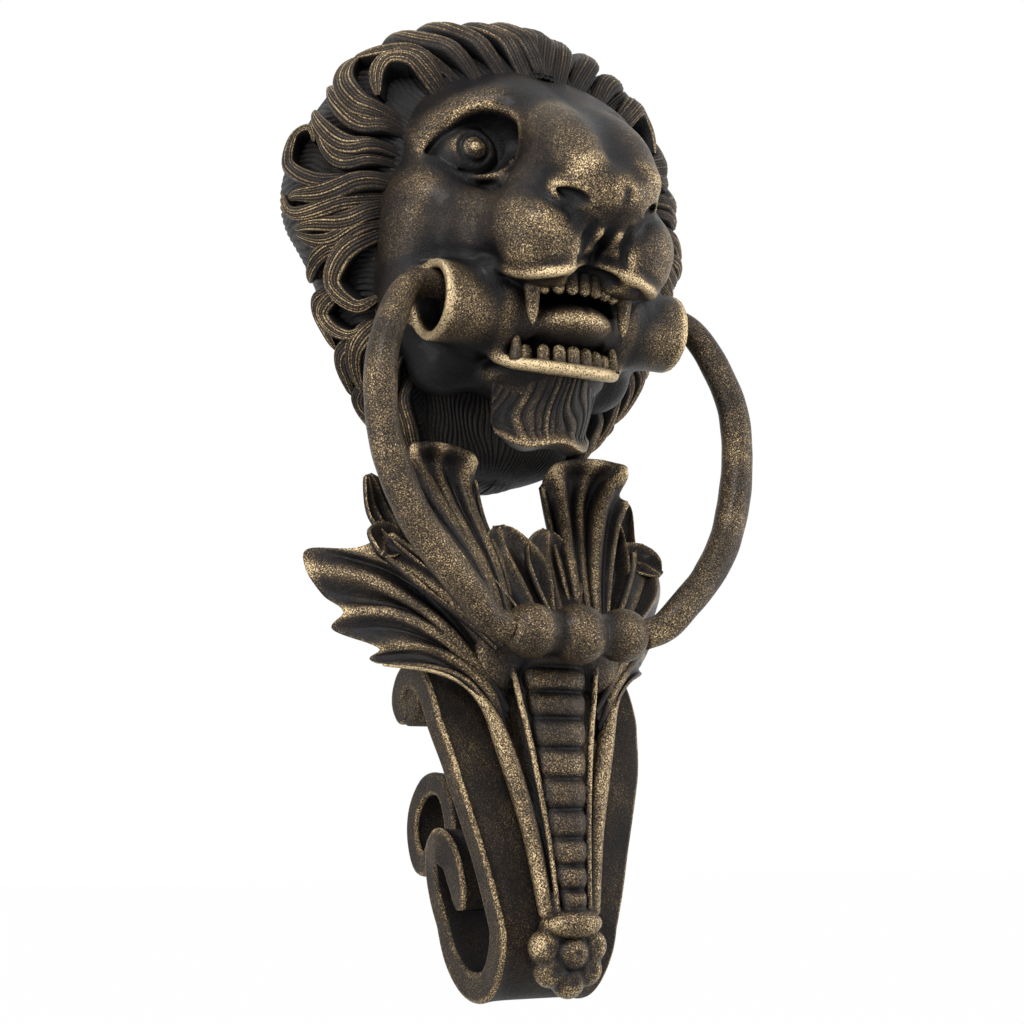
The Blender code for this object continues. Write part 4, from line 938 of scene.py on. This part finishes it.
def stem_clay(clay):
    """Beaded barrel, the hub that the lobes grow from, the rails and the ribbed tongue."""
    x, y, z = clay.grids()
    around = np.sqrt((y - BEADS_Y) ** 2 + (z - BEADS_Z) ** 2)
    clay.ball((0, -61, -120), (17, 7, 8), 3)
    clay.ball((16.5, -60, -124), (8, 5, 11), 4)
    # Bed behind the tongue
    bed = [(7, -57.5, -128, 5.5), (6, -61.5, -150, 5), (4, -65.5, -175, 4.4), (2.5, -69.5, -197, 3.8)]
    clay.rope(bed, 2)
    clay.field(np.maximum(around - 6.2, x - 19), 1.2)
    clay.ball((0, -77.4, -118.4), (9.2, 8.9, 8.9), 0.8)
    clay.ball((15.4, BEADS_Y, BEADS_Z), (8.2, 8.2, 8), 1.2)
    # Rails
    rail = [
        (44.4, -40.2, -126.2, 0.7), (35, -51.2, -127.8, 1.2), (27, -57.8, -131.8, 1.4),
        (21.5, -61.6, -139, 1.8), (17.4, -64.2, -150, 2.7), (13.2, -67, -164.8, 2.8),
        (10.4, -69.2, -177.5, 2.6), (7.6, -72, -197, 2.4),
    ]
    clay.rope(rail, 2)
    inner = [
        (15.4, -62.6, -121, 0.5), (14.2, -64.2, -128, 0.8), (12.8, -65.4, -136, 0.95),
        (10.4, -67.4, -148, 0.95), (7.9, -70.2, -166, 0.9), (6.4, -72.4, -180, 0.85),
        (5.2, -74.6, -196.6, 0.8),
    ]
    clay.rope(inner, 0.8)
    tongue_clay(clay)
    clay.ball((0, -75.2, -200.6), (8.6, 4.6, 4.2), 1)


TONGUE_ENDS = (-197, -119)  # z of its foot and its head
RIB_EDGES = (-118.6, -127.2, -134.4, -142.2, -151.1, -159.8, -168.6, -176.8, -184.4, -191.4, -197)


def tongue_clay(clay):
    """The tapering tongue between the rails, swelling from rib to rib."""
    x, y, z = clay.grids()
    half = np.interp(z, TONGUE_ENDS, (3.9, 11.4))
    middle = np.interp(z, TONGUE_ENDS, (-73.4, -61.4))
    edges = np.array(RIB_EDGES[::-1])
    rib = np.clip(np.searchsorted(edges, z) - 1, 0, len(edges) - 2)
    q = np.clip((z - edges[rib]) / (edges[rib + 1] - edges[rib]), 0, 1)
    swell = 1 - np.abs(2 * q - 1) ** 2.6
    front = (3.3 + 2.4 * swell) * (0.7 + 0.3 * half / 10)
    half = half * (0.92 + 0.08 * swell)
    k = ((x / half) ** 2.6 + (np.abs(y - middle) / front) ** 2.2) ** (1 / 2.4)
    body = (k - 1) * np.minimum(half, front) * 0.8
    ends = np.maximum(z - TONGUE_ENDS[1], TONGUE_ENDS[0] - z)
    clay.field(np.maximum(body, ends), 0.5)


def build_drop():
    stem = Clay((0, -92, -206), (47, -36, -104), 0.5)
    stem_clay(stem)
    stem.piece("leaf_stem", LEAF, DROP_BRONZE, 0.29, 0.40)
    pile = Pile()
    for side, _ in SIDES:
        for lobe in LOBES:
            add_lobe(pile, *lobe, side)
        for fan in FANS:
            add_fan(pile, *fan, side)
    pile.done("leaf_lobes", LEAF, DROP_BRONZE)


# Scroll and hammer: straps bent in the YZ plane

STRAP_LINE = (
    (-34, -142), (-29, -136), (-34, -129.5), (-43.5, -131), (-49.5, -138), (-53.5, -147),
    (-57.5, -158), (-61, -178), (-63, -195), (-62, -208), (-54, -218.3), (-42, -219.3),
    (-32, -211.5), (-28, -197), (-30, -185), (-36.5, -179), (-42.8, -183), (-43.5, -191),
    (-41.5, -198),
)
# Half width at heights z, and thickness at shares of the length
STRAP_OUTLINE = ((-228, 17), (-203, 19.3), (-181, 25), (-160, 31), (-144, 34.5), (-122, 36))
STRAP_THICK = ((0, 9), (0.08, 8), (0.4, 8), (0.52, 9.2), (0.62, 9), (0.75, 7.4))
STRAP_THICK += ((0.84, 8), (0.91, 11), (0.96, 11), (1, 8))
HAMMER_HALF_WIDTH = 17.8
HAMMER_THICK = ((0, 7), (0.7, 7), (0.92, 8.5), (1, 6))
HAMMER_LINE = (
    (-31.5, -181), (-29, -169), (-23, -161.5), (-13, -161.5), (-5.5, -168.5), (-4.2, -177),
    (-8.5, -184.5), (-16, -184), (-18.5, -176.5),
)


def strap_section(half, wide, hollow):
    """Places around the section of a strap with rounded edges: x, height off its middle line, and wear."""
    corner = np.minimum(1.3, half * 0.9)
    flat = np.linspace(-1, 1, 15)
    arc = np.radians(np.linspace(0, 90, 5))[1:]
    inner, level = wide - corner, half - corner
    c, s = corner * np.cos(arc), corner * np.sin(arc)
    top = half - hollow * (1 - flat**6)
    between = level * np.linspace(0.86, -0.86, 5)
    edge = wide + 0 * between
    x = [inner * flat, inner + s, edge, inner + c, -inner * flat, -inner - s, -edge, -inner - c]
    n = [top, level + c, between, -level - s, -top, -level - c, -between, level + s]
    rub = (0.32, 0.66, 0.40, 0.62, 0.20, 0.5, 0.40, 0.66)
    wear = [np.full(a.shape, shine) for a, shine in zip(x, rub)]
    return np.hstack(x), np.hstack(n), np.hstack(wear)


def add_strap(pile, line, thick, half_width, hollow):
    """A bent strap; thick is (share, thickness) points and half_width a function of z."""
    rows = 220
    line = even_line(np.column_stack([np.zeros(len(line)), np.array(line)]), rows)
    along = unit(np.gradient(line, axis=0))
    out = np.cross(along, (1, 0, 0))
    share = np.linspace(0, 1, rows)
    half = np.interp(share, *np.array(thick, float).T) / 2
    ends = np.minimum(share, 1 - share) * rows * np.linalg.norm(line[1] - line[0])
    half = half * np.sqrt(1 - (1 - np.clip(ends / half, 0, 1)) ** 2)
    half[[0, -1]] = 0.02
    x, n, wear = strap_section(half[:, None], half_width(line[:, 2])[:, None], hollow)
    verts = line[:, None] + out[:, None] * n[..., None]
    verts[..., 0] = x
    pile.add(verts, wear, closed=True)


def build_scroll():
    pile = Pile()
    add_strap(pile, STRAP_LINE, STRAP_THICK, lambda z: np.interp(z, *np.array(STRAP_OUTLINE).T), 0.7)
    add_strap(pile, HAMMER_LINE, HAMMER_THICK, lambda z: np.full_like(z, HAMMER_HALF_WIDTH), 0.4)
    roll = ((-34.4, 0), (-34.4, 5.6), (-33.6, 6.6), (33.6, 6.6), (34.4, 5.6), (34.4, 0))
    add_drum(pile, roll, 1, (-35.6, -137.4), 0.38)
    pile.done("scroll", SCROLL, SCROLL_BRONZE)


ROSETTE_Z = -209
PETALS = 7


def build_rosette():
    """A low seven-petalled flower with a boss, worn soft."""
    clay = Clay((0, -88, -226), (18, -58, -194), 0.35)
    clay.ball((0, -68.5, ROSETTE_Z), (10.5, 5, 10.5), 1)
    for k in range(PETALS):
        turn = math.radians(-90 + 360 * k / PETALS)
        far = 8.0 + 0.5 * math.sin(5 * k)
        x, rise = far * math.cos(turn), far * math.sin(turn)
        clay.ball((x, -70.8, ROSETTE_Z + rise), (4.9, 4.6, 4.9), 1.3)
        clay.ball((x * 1.02, -76, ROSETTE_Z + rise * 1.02), (1.8, 1.2, 1.8), 1.8, carve=True)
    clay.ball((0, -73, ROSETTE_Z), (5.2, 4.4, 5.2), 0.5)
    clay.ball((0, -77.7, ROSETTE_Z), (1.1, 0.8, 1.1), 0.8, carve=True)
    clay.piece("rosette", ROSETTE, DROP_BRONZE, 0.26, 0.42)


def dress_fixings():
    """Steel for the studs, washers, nuts and pins, whose solids stay as they are."""
    for name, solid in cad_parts.items():
        if name.startswith(("fixing_", "arm_pin")):
            solid.data.materials.clear()
            solid.data.materials.append(PLATED_STEEL)


build_head()
build_mane()
build_neck()
build_beard()
build_arms()
build_drop()
build_scroll()
build_rosette()
dress_fixings()


# Camera, light and floor, in metres

LENS_MM = 63.4113
CAMERA_PLACE, CAMERA_TARGET = (-0.2703, -0.5258, -0.1699), (-0.0121, -0.060, -0.08075)
LIT_PLACE = (0, -0.05, -0.06)
# Each lamp: name, place, size and watts
LAMPS = (
    ("key", (-0.55, -0.75, 0.75), (0.5, 0.5), 16),
    ("fill", (0.85, -0.55, 0.05), (0.5, 0.9), 9),
    ("left", (-0.95, -0.25, -0.05), (0.5, 0.9), 8),
)
FLOOR_REACH, FLOOR_Z = 6, -0.42


def look_at(obj, target):
    obj.rotation_euler = (Vector(target) - obj.location).to_track_quat("-Z", "Y").to_euler()


def area_light(name, place, size, power):
    lamp = bpy.data.lights.new(name, "AREA")
    lamp.shape = "RECTANGLE"
    lamp.size, lamp.size_y = size
    lamp.energy = power
    made = new_object(name, lamp)
    made.location = place
    look_at(made, LIT_PLACE)


def seen_directly(tree):
    """1 for what the camera sees straight, in a mirror or through glass; 0 for light on the object."""
    path = tree.nodes.new("ShaderNodeLightPath")
    seen = math_node(tree, "MAXIMUM", path.outputs["Is Camera Ray"], path.outputs["Is Glossy Ray"])
    return math_node(tree, "MAXIMUM", seen, path.outputs["Is Transmission Ray"])


def build_floor():
    """A pale floor that looks white and still takes the object's shadow."""
    mesh = bpy.data.meshes.new("floor")
    corners = [(x * FLOOR_REACH, y * FLOOR_REACH, FLOOR_Z) for x, y in ((-1, -1), (1, -1), (1, 1), (-1, 1))]
    mesh.from_pydata(corners, [], [(0, 1, 2, 3)])
    floor = new_object("floor", mesh)
    material = bpy.data.materials.new("pale floor")
    material.use_nodes = True
    tree = material.node_tree
    shader = tree.nodes["Principled BSDF"]
    shader.inputs["Base Color"].default_value = (0.9, 0.9, 0.9, 1)
    glow = node(tree, "ShaderNodeEmission", Strength=1.0)
    mix = tree.nodes.new("ShaderNodeMixShader")
    tree.links.new(math_node(tree, "MULTIPLY", seen_directly(tree), 0.985), mix.inputs["Fac"])
    tree.links.new(shader.outputs[0], mix.inputs[1])
    tree.links.new(glow.outputs[0], mix.inputs[2])
    tree.links.new(mix.outputs[0], tree.nodes["Material Output"].inputs["Surface"])
    mesh.materials.append(material)


def build_studio():
    """Camera, lamps and a world that looks white but lights the object at a plain level."""
    scene = bpy.context.scene
    scene.view_settings.view_transform = "Standard"
    lens = bpy.data.cameras.new("camera")
    lens.sensor_width = 36
    lens.lens = LENS_MM
    camera = new_object("camera", lens)
    camera.location = CAMERA_PLACE
    look_at(camera, CAMERA_TARGET)
    scene.camera = camera
    for lamp in LAMPS:
        area_light(*lamp)
    world = bpy.data.worlds.new("studio")
    scene.world = world
    world.use_nodes = True
    tree = world.node_tree
    background = tree.nodes["Background"]
    background.inputs["Color"].default_value = (1, 1, 1, 1)
    strength = scaled(tree, seen_directly(tree), 0.65, 0.35)
    tree.links.new(strength, background.inputs["Strength"])


build_floor()
build_studio()
